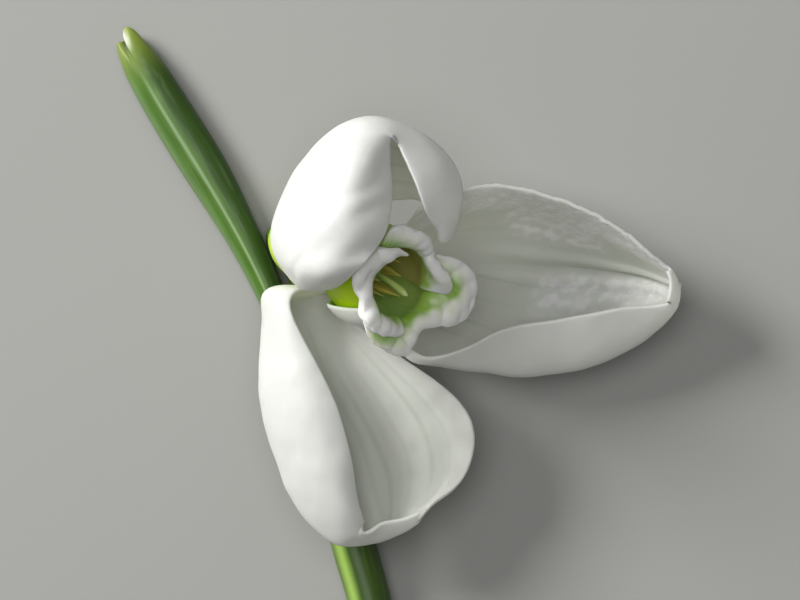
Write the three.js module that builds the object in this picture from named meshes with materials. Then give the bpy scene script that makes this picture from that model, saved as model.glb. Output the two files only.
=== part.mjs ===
// A cut snowdrop in full flower, lying on its back on a flat surface.
// +Z is up from the surface, +Y runs along the scape towards the flower, +X is to its right.
// All lengths are millimetres. Shapes are laid out in a sketch frame whose Z = 0 is the surface,
// and the whole flower is then moved so that the middle of its footprint is the origin.
import * as THREE from "three";

// Middle of the flower's footprint in the sketch frame.
const FOOTPRINT_MIDDLE = new THREE.Vector3(-0.3, -17.8, 0);

// The flower: where the petals spring from the ovary, and which way the flower faces.
const RECEPTACLE = new THREE.Vector3(-5.6, 3.9, 7.6);
const FACING = new THREE.Vector3(0.599, -0.265, 0.756).normalize();
const SIDEWAYS = new THREE.Vector3(-FACING.y, FACING.x, 0).normalize();
const AWAY = new THREE.Vector3().crossVectors(SIDEWAYS, FACING);

// Outer tepals: the three large white petals.
const OUTER_THICKNESS = 0.5;
const OUTER_MARGIN = 0.3;
const MARGIN_SHARE = 0.225; // share of a petal's width and length over which it thins to its margin
// The claw of an outer tepal widens and leaves the flower's axis in two arcs on top of the ovary:
// distance from the axis, height, and how far the arc reaches past each end of the first one.
const CLAW_ARCS = [
  { radius: 2.3, height: 0.15, widen: 0 },
  { radius: 3.4, height: -0.15, widen: 3 },
];
const OUTER_ALONG = 24;
const TOP_EXTRA = 4; // more steps along the top tepal, which bends most

// Inner tepals: the three short notched petals that make the cup.
const INNER_THICKNESS = 0.42;
const INNER_MARGIN = 0.3;
const INNER_ALONG = 12;
const INNER_ACROSS = 18;
const THROAT_RADIUS = 3.15;
const THROAT_HEIGHT = 9.2;
const LAP_AT_FOOT = 0.05; // share of an overlap at the foot, which grows to the whole of it
const LAP_GROWTH = 0.25; // by this share for each millimetre up

// Ovary, style and stamens.
const OVARY_PROFILE = [
  [0, -7.3], [0.9, -7.2], [1.9, -6.6], [2.8, -5.4], [3.2, -4.0],
  [3.15, -2.8], [2.8, -1.6], [2.35, -0.8], [1.8, -0.35], [0, -0.3],
];
const OVARY_SIDES = 18;
const STYLE_RADIUS = 0.27;
const STYLE_PATH = [[0, 0, 0], [0, 0, 5], [-0.3, 0, 8.4], [-0.75, 0, 10.9]];
const STYLE_STEPS = 8;
const STAMENS = 6;
const FIRST_STAMEN = 10; // bearing in degrees
const FILAMENT_RADIUS = 0.16;
const FILAMENT_TOP = 1.5;
const STAMEN_FOOT_RADIUS = 0.95;
const FILAMENT_BOW = 0.1;
const ANTHER_FOOT = 1.75;
const ANTHER_LENGTHS = [6.4, 5.7, 6.9, 6.8, 6.9, 6.5];
const ANTHER_LEAN = 0.65; // how far an anther's foot stands further out than the filament's foot
const ANTHER_PROFILE = [
  [0, 0], [0.3, 0.06], [0.46, 0.2], [0.46, 0.45], [0.42, 0.66], [0.33, 0.82], [0.13, 0.94], [0, 1],
];
const ANTHER_FLATNESS = 0.7;
const ANTHER_SIDES = 8;

// Scape (the flower stalk), spathe (the green sheath that held the bud) and pedicel.
const SCAPE_PATH = [
  [-8.3, -6.5], [-5.9, -12.7], [-4.0, -20.5], [-2.6, -25.5],
  [-1.0, -34.0], [0.2, -42.5], [1.1, -50.9], [1.8, -58.6],
];
const SCAPE_HALF_WIDTHS = [1.75, 1.85, 1.88, 1.85, 1.8, 1.75, 1.7, 1.65];
const SCAPE_HALF_HEIGHTS = [1.6, 1.75, 1.8, 1.78, 1.75, 1.7, 1.65, 1.6];
const SPATHE_PATH = [
  [-8.4, -6.28], [-10.1, -1.7], [-11.7, 2.1], [-13.6, 5.9],
  [-16.1, 10.4], [-19.0, 15.1], [-21.6, 19.4], [-22.75, 21.4],
];
const SPATHE_HALF_WIDTHS = [1.15, 1.15, 1.3, 1.5, 1.85, 1.9, 1.7, 1.25];
const SPATHE_HALF_HEIGHTS = [1.1, 1.1, 1.15, 1.2, 1.3, 1.3, 1.25, 0.85];
const SPATHE_LOBE = 1.5; // how far the two lobes of the spathe's tip reach past its notch
const LOBE_SHARE = 0.25; // share of the spathe's length over which its lobes grow out
const LOBE_MIDDLE = 2 / 3; // where a lobe is longest, as a share of the half width
const STALK_STEPS = 20;
const SCAPE_SIDES = 14;
const SPATHE_SIDES = 16;
const PEDICEL_PATH = [
  [-6.3, -5.2, 1.2], [-7.3, -2.7, 1.2], [-8.6, 0.9, 0.9], [-9.9, 3.2, 0.7], [-10.75, 4.6, 0.75],
  [-10.75, 5.7, 1.1],
];
const PEDICEL_TOP = -7.8; // height on the flower's axis, just under the ovary
const PEDICEL_RADIUS = 0.5;
const PEDICEL_STEPS = 14;

const STEP = 1e-3; // a short way along a path or skin, for its direction there

// An outer tepal is a skin through cross-sections, from its claw to its tip. Each cross-section
// is a row of points from one margin to the other.

// The top tepal is folded along its keel like a boat: near margin, near side, keel, far side,
// far margin. Its near margin is buckled, and its blunt tip hangs over the cup.
const TOP_CLAW = [-128, -84];
const TOP_SECTIONS = [
  [[-6.2, 1.0, 14.6], [-8.1, 1.2, 12.0], [-8.8, 2.4, 10.0], [-8.2, 3.5, 9.4], [-7.4, 4.4, 9.2]],
  [[-3.6, 2.4, 20.1], [-7.4, 1.8, 18.4], [-10.3, 3.9, 12.4], [-9.6, 5.2, 10.2], [-8.2, 5.7, 9.2]],
  [[-2.0, 4.2, 20.1], [-6.9, 3.9, 20.4], [-10.1, 6.4, 14.0], [-9.4, 7.9, 10.6], [-7.7, 7.2, 8.8]],
  [[-0.9, 6.6, 19.7], [-5.7, 6.6, 21.3], [-8.7, 9.5, 15.0], [-7.9, 10.2, 11.0], [-5.4, 7.9, 8.6]],
  [[-0.7, 10.0, 18.8], [-4.2, 10.4, 20.9], [-5.9, 13.4, 16.0], [-5.2, 12.5, 11.5], [-2.7, 8.2, 9.0]],
  [[-0.6, 13.4, 18.6], [-1.7, 14.1, 18.8], [-2.5, 14.9, 16.0], [-1.6, 12.4, 11.0], [-0.3, 8.4, 9.0]],
  [[1.2, 9.7, 19.0], [1.9, 11.6, 18.0], [2.0, 13.5, 15.5], [1.7, 11.6, 12.0], [1.2, 8.4, 9.8]],
  [[2.2, 7.1, 17.6], [3.6, 8.7, 17.5], [4.7, 10.3, 15.0], [3.7, 9.5, 12.2], [2.3, 7.9, 10.6]],
  [[2.9, 5.9, 16.0], [4.0, 6.5, 16.4], [4.9, 7.5, 14.8], [4.5, 7.5, 12.8], [3.5, 6.9, 11.8]],
  [[3.1, 5.0, 14.9], [3.7, 4.8, 15.0], [4.5, 5.3, 14.2], [4.3, 5.7, 13.2], [3.8, 5.9, 12.7]],
];

// The right tepal is a long spoon: upper margin, hollow, fold of the lower edge, curled margin.
const RIGHT_CLAW = [-5, 39];
const RIGHT_SECTIONS = [
  [[-0.7, 5.7, 7.6], [-0.2, 4.2, 6.4], [0.2, 2.4, 5.4], [0.2, 0.3, 5.2], [-0.2, -1.5, 6.0],
    [-0.5, -2.4, 7.0], [-0.3, -2.3, 7.9]],
  [[2.3, 8.1, 9.0], [3.0, 6.2, 5.6], [3.4, 3.6, 3.8], [3.4, 0.3, 3.6], [2.7, -3.2, 4.4],
    [2.2, -5.2, 6.8], [3.5, -4.7, 8.5]],
  [[8.1, 9.5, 8.8], [8.5, 7.3, 4.4], [8.8, 4.1, 2.0], [9.0, 0.0, 1.6], [8.5, -3.9, 3.0],
    [8.4, -6.1, 5.6], [8.3, -2.6, 8.4]],
  [[13.2, 8.5, 8.6], [13.5, 6.3, 4.0], [13.9, 3.6, 0.9], [14.1, 0.2, 0.5], [13.9, -3.7, 2.4],
    [14.0, -5.9, 5.4], [12.8, -1.7, 8.4]],
  [[17.8, 6.4, 8.2], [18.1, 4.7, 4.2], [18.5, 2.9, 1.8], [18.9, 0.3, 1.5], [18.8, -2.7, 3.0],
    [18.7, -4.2, 5.6], [17.6, -0.8, 8.2]],
  [[21.0, 3.9, 7.6], [21.4, 3.0, 5.2], [21.8, 2.0, 3.6], [22.1, 0.5, 3.4], [22.2, -1.0, 4.2],
    [21.9, -1.9, 6.0], [20.6, -0.5, 7.6]],
  [[22.6, 2.7, 7.0], [23.0, 2.2, 6.4], [23.4, 1.4, 6.0], [23.5, 0.7, 6.0], [23.4, 0.0, 6.4],
    [23.1, -0.6, 7.0], [22.5, -0.3, 7.6]],
  [[22.4, 2.4, 7.7], [22.6, 2.0, 7.8], [22.7, 1.5, 7.8], [22.7, 0.9, 7.8], [22.6, 0.4, 7.8],
    [22.5, 0.1, 7.8], [22.3, -0.1, 7.9]],
];

// The lower tepal has its left margin rolled over: rolled margin, roll, fold, then the open
// inner face as far as the right margin.
const LOWER_CLAW = [158, 118];
const LOWER_SECTIONS = [
  [[-8.2, 0.8, 9.6], [-9.4, 1.0, 9.0], [-10.6, 0.9, 7.6], [-10.1, 0.3, 6.0], [-8.4, 0.0, 5.4],
    [-6.6, 0.0, 5.5], [-5.2, -0.1, 6.4]],
  [[-9.1, -0.8, 10.8], [-10.4, -1.0, 10.1], [-11.3, -1.3, 7.9], [-10.6, -1.7, 5.8], [-7.8, -2.2, 5.4],
    [-4.7, -2.5, 5.8], [-2.5, -3.0, 6.6]],
  [[-7.0, -5.2, 11.7], [-9.4, -5.2, 11.3], [-11.6, -5.0, 8.6], [-10.5, -5.4, 6.4], [-6.4, -5.9, 6.6],
    [-1.9, -5.6, 7.0], [1.3, -5.6, 7.0]],
  [[-5.1, -9.4, 11.8], [-8.2, -9.9, 11.9], [-11.3, -9.4, 8.8], [-9.6, -10.0, 6.6], [-4.7, -9.8, 6.9],
    [0.3, -9.1, 7.2], [4.9, -8.4, 7.0]],
  [[-4.0, -13.7, 11.3], [-6.9, -14.2, 11.6], [-10.1, -13.7, 8.7], [-8.1, -14.5, 6.7], [-3.2, -13.9, 6.9],
    [1.9, -13.1, 7.2], [6.3, -11.7, 7.2]],
  [[-3.5, -16.8, 10.5], [-5.4, -17.6, 10.6], [-8.2, -17.6, 8.3], [-6.2, -17.9, 6.8], [-2.4, -17.0, 6.8],
    [1.7, -16.3, 7.1], [5.2, -15.2, 7.3]],
  [[-3.2, -18.0, 10.0], [-4.3, -19.1, 9.8], [-6.0, -19.9, 8.3], [-5.1, -19.6, 7.2], [-2.0, -19.0, 7.0],
    [0.6, -18.2, 7.3], [3.0, -17.0, 7.7]],
  [[-3.1, -18.4, 9.8], [-3.8, -19.6, 9.4], [-4.7, -20.4, 8.4], [-3.8, -20.5, 7.9], [-2.1, -20.2, 7.7],
    [-0.2, -19.6, 7.8], [1.6, -18.6, 7.9]],
  [[-3.0, -18.5, 9.7], [-3.1, -19.1, 9.7], [-2.9, -19.4, 9.6], [-2.3, -19.2, 9.5], [-1.6, -18.7, 9.3],
    [-0.1, -18.4, 9.0], [1.7, -17.8, 8.7]],
];

// Each inner tepal: the bearings of its two side margins round the flower in degrees, how far its
// wall stands out from the tube at one margin, the middle and the other margin, then the bearing,
// radius and height of its rim at even steps across it, with the notch in the middle. The left one
// lies inside both its neighbours and the lower one outside both.
const INNER_TEPALS = {
  inner_tepal_left: {
    from: -205, to: -34, stands: [-0.2, 0.1, -0.35],
    rim: [
      [-198, 4.25, 11.0], [-178, 4.45, 11.0], [-158, 4.9, 11.0], [-139, 5.1, 10.8], [-120, 4.9, 10.3],
      [-101, 5.8, 10.3], [-79, 5.5, 10.8], [-57, 4.4, 11.1], [-38, 2.95, 11.1],
    ],
  },
  inner_tepal_top: {
    from: -62, to: 84, stands: [0.5, -0.1, -0.35],
    rim: [
      [-63, 5.4, 10.6], [-46, 5.75, 10.8], [-27, 5.1, 10.8], [-8, 4.45, 10.8], [10, 3.7, 10.4],
      [26, 3.05, 10.7], [46, 3.3, 11.0], [63, 4.2, 10.9], [79, 5.0, 10.5],
    ],
  },
  inner_tepal_lower: {
    from: 28, to: 216, stands: [0.5, 0.35, 0.85],
    rim: [
      [30, 3.9, 10.3], [49, 5.7, 10.4], [72, 7.4, 10.4], [98, 6.95, 10.4], [130, 4.4, 10.2],
      [151, 6.0, 10.4], [171, 5.7, 10.4], [192, 5.45, 10.4], [213, 5.3, 10.4],
    ],
  },
};
// Up the cup: share of the full width, radius and height of the tube, then how far the wall has
// opened out and risen from the throat to the rim.
const CUP_STEPS = [
  { width: 0.4, radius: 1.5, height: 0, opened: 0, risen: 0 },
  { width: 0.68, radius: 3.05, height: 2.4, opened: 0, risen: 0 },
  { width: 0.95, radius: 3.9, height: 4.9, opened: 0, risen: 0 },
  { width: 1, radius: 3.8, height: 7.3, opened: 0, risen: 0 },
  { width: 1, radius: THROAT_RADIUS, height: THROAT_HEIGHT, opened: 0, risen: 0 },
  { width: 1, radius: THROAT_RADIUS, height: THROAT_HEIGHT, opened: 0.45, risen: 0.75 },
  { width: 1, radius: THROAT_RADIUS, height: THROAT_HEIGHT, opened: 1, risen: 1 },
];

const PETAL_WHITE = new THREE.MeshStandardMaterial({ color: 0xf4f5ef, roughness: 0.55, metalness: 0 });
const CUP_WHITE_GREEN = new THREE.MeshStandardMaterial({ color: 0xdfe8c8, roughness: 0.5, metalness: 0 });
const OVARY_GREEN = new THREE.MeshStandardMaterial({ color: 0xa9c832, roughness: 0.45, metalness: 0 });
const STALK_GREEN = new THREE.MeshStandardMaterial({ color: 0x5a8a34, roughness: 0.5, metalness: 0 });
const STYLE_GREEN = new THREE.MeshStandardMaterial({ color: 0x9db56a, roughness: 0.5, metalness: 0 });
const ANTHER_YELLOW = new THREE.MeshStandardMaterial({ color: 0xb08f2a, roughness: 0.7, metalness: 0 });
const FILAMENT_WHITE = new THREE.MeshStandardMaterial({ color: 0xe6ead6, roughness: 0.5, metalness: 0 });

const snowdrop = new THREE.Group();
snowdrop.position.copy(FOOTPRINT_MIDDLE).negate();

function add(name, geometry, material) {
  const mesh = new THREE.Mesh(geometry, material);
  mesh.name = name;
  snowdrop.add(mesh);
}

// Natural cubic spline through evenly spaced values, read at t from 0 to 1.
function spline(values) {
  const last = values.length - 1;
  const bend = new Array(last + 1).fill(0);
  const ratio = new Array(last + 1).fill(0);
  for (let i = 1; i < last; i++) {
    const second = 6 * (values[i + 1] - 2 * values[i] + values[i - 1]);
    ratio[i] = 1 / (4 - ratio[i - 1]);
    bend[i] = ratio[i] * (second - bend[i - 1]);
  }
  for (let i = last - 1; i > 0; i--) bend[i] -= ratio[i] * bend[i + 1];
  return (t) => {
    const i = Math.min(Math.floor(t * last), last - 1);
    const f = t * last - i;
    const g = 1 - f;
    const curved = (g ** 3 - g) * bend[i] + (f ** 3 - f) * bend[i + 1];
    return g * values[i] + f * values[i + 1] + curved / 6;
  };
}

function splineCurve(points) {
  const [x, y, z] = [0, 1, 2].map((k) => spline(points.map((p) => p[k])));
  return (t) => [x(t), y(t), z(t)];
}

// A skin through cross-sections: along from 0 to 1 over them, across from 0 to 1 in each.
function skin(sections) {
  const rows = sections.map(splineCurve);
  const columns = new Map();
  return (along, across) => {
    if (!columns.has(across)) columns.set(across, splineCurve(rows.map((row) => row(across))));
    return new THREE.Vector3(...columns.get(across)(along));
  };
}

// A point given round the flower's own axis: distance from it, bearing round it, height up it.
function roundFlower(radius, degrees, height) {
  const angle = THREE.MathUtils.degToRad(degrees);
  return RECEPTACLE.clone()
    .addScaledVector(FACING, height)
    .addScaledVector(SIDEWAYS, radius * Math.cos(angle))
    .addScaledVector(AWAY, radius * Math.sin(angle));
}

// The claw is the narrow foot of an outer tepal, two cross-sections between two bearings.
function claw([from, to], count) {
  const turn = Math.sign(to - from);
  return CLAW_ARCS.map(({ radius, height, widen }) =>
    Array.from({ length: count }, (_, i) => {
      const bearing = THREE.MathUtils.lerp(from - turn * widen, to + turn * widen, i / (count - 1));
      return roundFlower(radius, bearing, height).toArray();
    }),
  );
}

// Turns a closed geometry whose faces point inwards the right way round.
function facingOut(geometry) {
  const p = geometry.attributes.position;
  const order = geometry.index.array;
  const corner = (i) => new THREE.Vector3().fromBufferAttribute(p, order[i]);
  let volume = 0;
  for (let i = 0; i < order.length; i += 3) {
    volume += corner(i).dot(corner(i + 1).cross(corner(i + 2)));
  }
  if (volume < 0) geometry.index.array.reverse();
  return geometry;
}

// A petal is a flat blank bent onto its skin, thick in the middle and thin at its margins.
function petal(surface, along, across, thickness, margin) {
  const blank = new THREE.BoxGeometry(1, 1, 1, across, along, 1);
  const p = blank.attributes.position;
  for (let i = 0; i < p.count; i++) {
    const [v, u, side] = [p.getX(i) + 0.5, p.getY(i) + 0.5, Math.sign(p.getZ(i))];
    const [u0, u1] = [Math.max(u - STEP, 0), Math.min(u + STEP, 1)];
    const [v0, v1] = [Math.max(v - STEP, 0), Math.min(v + STEP, 1)];
    const lengthways = surface(u1, v).sub(surface(u0, v));
    const crossways = surface(u, v1).sub(surface(u, v0));
    const normal = lengthways.cross(crossways).normalize();
    const inwards = Math.min(1, Math.min(v, 1 - v, 1 - u) / MARGIN_SHARE);
    const half = THREE.MathUtils.lerp(margin, thickness, Math.sqrt(inwards)) / 2;
    const point = surface(u, v).addScaledVector(normal, side * half);
    p.setXYZ(i, point.x, point.y, point.z);
  }
  return facingOut(blank);
}

// A stalk of changing section lying on the surface: half widths and half heights along a path.
// The far end may grow two lobes, one on each side of a notch.
function stalk(path, halfWidths, halfHeights, sides, lobe = 0) {
  const blank = new THREE.CylinderGeometry(1, 1, 1, sides, STALK_STEPS);
  const p = blank.attributes.position;
  const middle = splineCurve(path.map(([x, y], i) => [x, y, halfHeights[i]]));
  const width = spline(halfWidths);
  const height = spline(halfHeights);
  for (let i = 0; i < p.count; i++) {
    const t = p.getY(i) + 0.5;
    const [x, y, z] = middle(t);
    const ahead = middle(Math.min(t + STEP, 1));
    const behind = middle(Math.max(t - STEP, 0));
    const heading = new THREE.Vector2(ahead[0] - behind[0], ahead[1] - behind[1]).normalize();
    const out = p.getX(i) * width(t);
    const up = p.getZ(i) * height(t);
    const grown = Math.max(0, 1 - (1 - t) / LOBE_SHARE);
    const across = Math.abs(p.getX(i)) / (2 * LOBE_MIDDLE);
    const reach = lobe * grown * Math.sin(Math.PI * across) ** 2;
    const planX = x - heading.y * out + heading.x * reach;
    const planY = y + heading.x * out + heading.y * reach;
    p.setXYZ(i, planX, planY, z + up);
  }
  return facingOut(blank);
}

// A round rod of one radius along a curve of points.
function rod(points, radius, steps, sides) {
  const path = new THREE.CatmullRomCurve3(points);
  const section = new THREE.Shape();
  section.absarc(0, 0, radius, 0, 2 * Math.PI);
  const settings = { steps, curveSegments: sides, bevelEnabled: false, extrudePath: path };
  return new THREE.ExtrudeGeometry(section, settings);
}

// Turns a shape made along +Y so that it stands at a point and runs along a direction.
function stand(geometry, foot, direction, twist = 0) {
  const turn = new THREE.Quaternion().setFromUnitVectors(new THREE.Vector3(0, 1, 0), direction);
  geometry.rotateY(twist).applyQuaternion(turn).translate(foot.x, foot.y, foot.z);
  return geometry;
}

/* ---- outer tepals ---- */

const OUTER_TEPALS = {
  outer_tepal_top: { clawArc: TOP_CLAW, sections: TOP_SECTIONS, across: 14, extra: TOP_EXTRA },
  outer_tepal_right: { clawArc: RIGHT_CLAW, sections: RIGHT_SECTIONS, across: 14, extra: 0 },
  outer_tepal_lower: { clawArc: LOWER_CLAW, sections: LOWER_SECTIONS, across: 16, extra: 0 },
};
for (const [name, { clawArc, sections, across, extra }] of Object.entries(OUTER_TEPALS)) {
  const surface = skin([...claw(clawArc, sections[0].length), ...sections]);
  const along = OUTER_ALONG + extra;
  add(name, petal(surface, along, across, OUTER_THICKNESS, OUTER_MARGIN), PETAL_WHITE);
}

/* ---- inner tepals, which make the cup ---- */

for (const [name, { from, to, stands, rim }] of Object.entries(INNER_TEPALS)) {
  const [low, centre, high] = stands;
  const sections = CUP_STEPS.map(({ width, radius, height, opened, risen }) =>
    rim.map(([rimBearing, rimRadius, rimHeight], i) => {
      const across = (2 * i) / (rim.length - 1) - 1;
      const stand = centre + (across * (high - low)) / 2 + across ** 2 * ((high + low) / 2 - centre);
      const wall = radius + stand * Math.min(1, LAP_AT_FOOT + LAP_GROWTH * height);
      const bearing = (from + to) / 2 + (across * width * (to - from)) / 2;
      return roundFlower(
        THREE.MathUtils.lerp(wall, rimRadius, opened),
        THREE.MathUtils.lerp(bearing, rimBearing, opened),
        THREE.MathUtils.lerp(height, rimHeight, risen),
      ).toArray();
    }),
  );
  const surface = skin(sections);
  add(name, petal(surface, INNER_ALONG, INNER_ACROSS, INNER_THICKNESS, INNER_MARGIN), CUP_WHITE_GREEN);
}

/* ---- ovary, style and stamens ---- */

const ovary = new THREE.LatheGeometry(
  OVARY_PROFILE.map(([radius, height]) => new THREE.Vector2(radius, height)),
  OVARY_SIDES,
);
add("ovary", stand(ovary, RECEPTACLE, FACING), OVARY_GREEN);

const stylePath = STYLE_PATH.map(([side, away, height]) =>
  roundFlower(0, 0, height).addScaledVector(SIDEWAYS, side).addScaledVector(AWAY, away),
);
add("style", rod(stylePath, STYLE_RADIUS, STYLE_STEPS, 4), STYLE_GREEN);

for (let i = 0; i < STAMENS; i++) {
  const bearing = (360 / STAMENS) * i + FIRST_STAMEN;
  const foot = roundFlower(STAMEN_FOOT_RADIUS, bearing, 0);
  const top = roundFlower(STAMEN_FOOT_RADIUS + ANTHER_LEAN, bearing, FILAMENT_TOP);
  const bend = roundFlower(STAMEN_FOOT_RADIUS + FILAMENT_BOW, bearing, FILAMENT_TOP / 2);
  add(`filament_${i + 1}`, rod([foot, bend, top], FILAMENT_RADIUS, 3, 3), FILAMENT_WHITE);

  const antherFoot = roundFlower(STAMEN_FOOT_RADIUS + ANTHER_LEAN, bearing, ANTHER_FOOT);
  const outwards = roundFlower(1, bearing, 0).sub(RECEPTACLE);
  const profile = ANTHER_PROFILE.map(
    ([radius, share]) => new THREE.Vector2(radius, share * ANTHER_LENGTHS[i]),
  );
  const anther = new THREE.LatheGeometry(profile, ANTHER_SIDES).scale(1, 1, ANTHER_FLATNESS);
  const flatWay = new THREE.Vector3(0, 0, 1).applyQuaternion(
    new THREE.Quaternion().setFromUnitVectors(new THREE.Vector3(0, 1, 0), FACING),
  );
  const twist = Math.atan2(flatWay.clone().cross(outwards).dot(FACING), flatWay.dot(outwards));
  add(`anther_${i + 1}`, stand(anther, antherFoot, FACING, twist), ANTHER_YELLOW);
}

/* ---- scape, spathe and pedicel ---- */

add("scape", stalk(SCAPE_PATH, SCAPE_HALF_WIDTHS, SCAPE_HALF_HEIGHTS, SCAPE_SIDES), STALK_GREEN);
add(
  "spathe",
  stalk(SPATHE_PATH, SPATHE_HALF_WIDTHS, SPATHE_HALF_HEIGHTS, SPATHE_SIDES, SPATHE_LOBE),
  STALK_GREEN,
);
const pedicelPath = PEDICEL_PATH.map((point) => new THREE.Vector3(...point));
pedicelPath.push(roundFlower(0, 0, PEDICEL_TOP));
add("pedicel", rod(pedicelPath, PEDICEL_RADIUS, PEDICEL_STEPS, 4), STALK_GREEN);

export default snowdrop;
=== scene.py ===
"""The looks of a cut snowdrop in full flower, lying on its back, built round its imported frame.

+Z is up from the surface, +Y runs along the scape towards the flower and +X is to its right.
Shapes are laid out in millimetres in a sketch frame, and to_row puts them in the row frame in metres.
"""
import math

import bpy
import numpy as np
from mathutils import Matrix, Vector


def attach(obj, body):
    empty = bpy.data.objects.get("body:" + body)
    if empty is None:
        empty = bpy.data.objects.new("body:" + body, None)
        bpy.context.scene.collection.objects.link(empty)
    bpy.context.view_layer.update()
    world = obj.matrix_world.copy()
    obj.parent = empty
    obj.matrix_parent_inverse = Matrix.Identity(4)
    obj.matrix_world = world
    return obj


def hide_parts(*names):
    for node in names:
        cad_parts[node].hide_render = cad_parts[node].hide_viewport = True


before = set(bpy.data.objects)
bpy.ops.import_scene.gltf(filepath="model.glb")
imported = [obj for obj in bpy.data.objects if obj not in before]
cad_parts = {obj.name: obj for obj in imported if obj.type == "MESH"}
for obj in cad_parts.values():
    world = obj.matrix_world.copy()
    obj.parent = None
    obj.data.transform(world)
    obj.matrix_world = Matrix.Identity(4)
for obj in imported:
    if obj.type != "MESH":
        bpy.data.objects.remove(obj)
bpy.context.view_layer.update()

MM = 0.001
FOOTPRINT_MIDDLE = np.array((-0.3, -17.8, 0.0))

# ---- the flower's own axes ----

RECEPTACLE = np.array((-5.6, 3.9, 7.6))
FACING = np.array((0.599, -0.265, 0.756))
FACING /= np.linalg.norm(FACING)
SIDEWAYS = np.array((-FACING[1], FACING[0], 0.0))
SIDEWAYS /= np.linalg.norm(SIDEWAYS)
AWAY = np.cross(SIDEWAYS, FACING)
MOUTH = RECEPTACLE + 9 * FACING

# ---- outer tepals: cross-sections from claw to tip, each from one margin to the other ----

CLAW_ARCS = ((2.3, 0.15, 0), (3.4, -0.15, 3))  # radius, height, degrees past each end
OUTER_HALF = 0.25  # half thickness in the middle of a petal
OUTER_MARGIN_HALF = 0.15
OUTER_THINNING = 4  # width of the band in which a petal thins towards its margin

# Height and wavelength of each swell of a petal, in millimetres.
PETAL_SWELL = (0.07, 5.5)
PETAL_DIMPLE = (0.016, 2.2)
MARGIN_WAVE = (0.045, 2.8)
MARGIN_WAVE_REACH = 1.2  # how far in from the margin it dies away
FROST_BLISTER = (0.035, 0.85)
FROST_GRAIN = (0.02, 0.45)
FROST_WAVES = 24  # random waves in a frosted patch, which is livelier than the rest
FROST_CLUMP = 1.1  # width of the clumps that frost lies in
VEIN_DEPTH = 0.05

TOP_CLAW = (-128, -84)
TOP_SECTIONS = [
    [[-6.2, 1.0, 14.6], [-8.1, 1.2, 12.0], [-8.8, 2.4, 10.0], [-8.2, 3.5, 9.4], [-7.4, 4.4, 9.2]],
    [[-3.6, 2.4, 20.1], [-7.4, 1.8, 18.4], [-10.3, 3.9, 12.4], [-9.6, 5.2, 10.2], [-8.2, 5.7, 9.2]],
    [[-2.0, 4.2, 20.1], [-6.9, 3.9, 20.4], [-10.1, 6.4, 14.0], [-9.4, 7.9, 10.6], [-7.7, 7.2, 8.8]],
    [[-0.9, 6.6, 19.7], [-5.7, 6.6, 21.3], [-8.7, 9.5, 15.0], [-7.9, 10.2, 11.0], [-5.4, 7.9, 8.6]],
    [[-0.7, 10.0, 18.8], [-4.2, 10.4, 20.9], [-5.9, 13.4, 16.0], [-5.2, 12.5, 11.5], [-2.7, 8.2, 9.0]],
    [[-0.6, 13.4, 18.6], [-1.7, 14.1, 18.8], [-2.5, 14.9, 16.0], [-1.6, 12.4, 11.0], [-0.3, 8.4, 9.0]],
    [[1.2, 9.7, 19.0], [1.9, 11.6, 18.0], [2.0, 13.5, 15.5], [1.7, 11.6, 12.0], [1.2, 8.4, 9.8]],
    [[2.2, 7.1, 17.6], [3.6, 8.7, 17.5], [4.7, 10.3, 15.0], [3.7, 9.5, 12.2], [2.3, 7.9, 10.6]],
    [[2.9, 5.9, 16.0], [4.0, 6.5, 16.4], [4.9, 7.5, 14.8], [4.5, 7.5, 12.8], [3.5, 6.9, 11.8]],
    [[3.1, 5.0, 14.9], [3.7, 4.8, 15.0], [4.5, 5.3, 14.2], [4.3, 5.7, 13.2], [3.8, 5.9, 12.7]],
]
RIGHT_CLAW = (-5, 39)
RIGHT_SECTIONS = [
    [[-0.7, 5.7, 7.6], [-0.2, 4.2, 6.4], [0.2, 2.4, 5.4], [0.2, 0.3, 5.2], [-0.2, -1.5, 6.0],
     [-0.5, -2.4, 7.0], [-0.3, -2.3, 7.9]],
    [[2.3, 8.1, 9.0], [3.0, 6.2, 5.6], [3.4, 3.6, 3.8], [3.4, 0.3, 3.6], [2.7, -3.2, 4.4],
     [2.2, -5.2, 6.8], [3.5, -4.7, 8.5]],
    [[8.1, 9.5, 8.8], [8.5, 7.3, 4.4], [8.8, 4.1, 2.0], [9.0, 0.0, 1.6], [8.5, -3.9, 3.0],
     [8.4, -6.1, 5.6], [8.3, -2.6, 8.4]],
    [[13.2, 8.5, 8.6], [13.5, 6.3, 4.0], [13.9, 3.6, 0.9], [14.1, 0.2, 0.5], [13.9, -3.7, 2.4],
     [14.0, -5.9, 5.4], [12.8, -1.7, 8.4]],
    [[17.8, 6.4, 8.2], [18.1, 4.7, 4.2], [18.5, 2.9, 1.8], [18.9, 0.3, 1.5], [18.8, -2.7, 3.0],
     [18.7, -4.2, 5.6], [17.6, -0.8, 8.2]],
    [[21.0, 3.9, 7.6], [21.4, 3.0, 5.2], [21.8, 2.0, 3.6], [22.1, 0.5, 3.4], [22.2, -1.0, 4.2],
     [21.9, -1.9, 6.0], [20.6, -0.5, 7.6]],
    [[22.6, 2.7, 7.0], [23.0, 2.2, 6.4], [23.4, 1.4, 6.0], [23.5, 0.7, 6.0], [23.4, 0.0, 6.4],
     [23.1, -0.6, 7.0], [22.5, -0.3, 7.6]],
    [[22.4, 2.4, 7.7], [22.6, 2.0, 7.8], [22.7, 1.5, 7.8], [22.7, 0.9, 7.8], [22.6, 0.4, 7.8],
     [22.5, 0.1, 7.8], [22.3, -0.1, 7.9]],
]
LOWER_CLAW = (158, 118)
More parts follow.
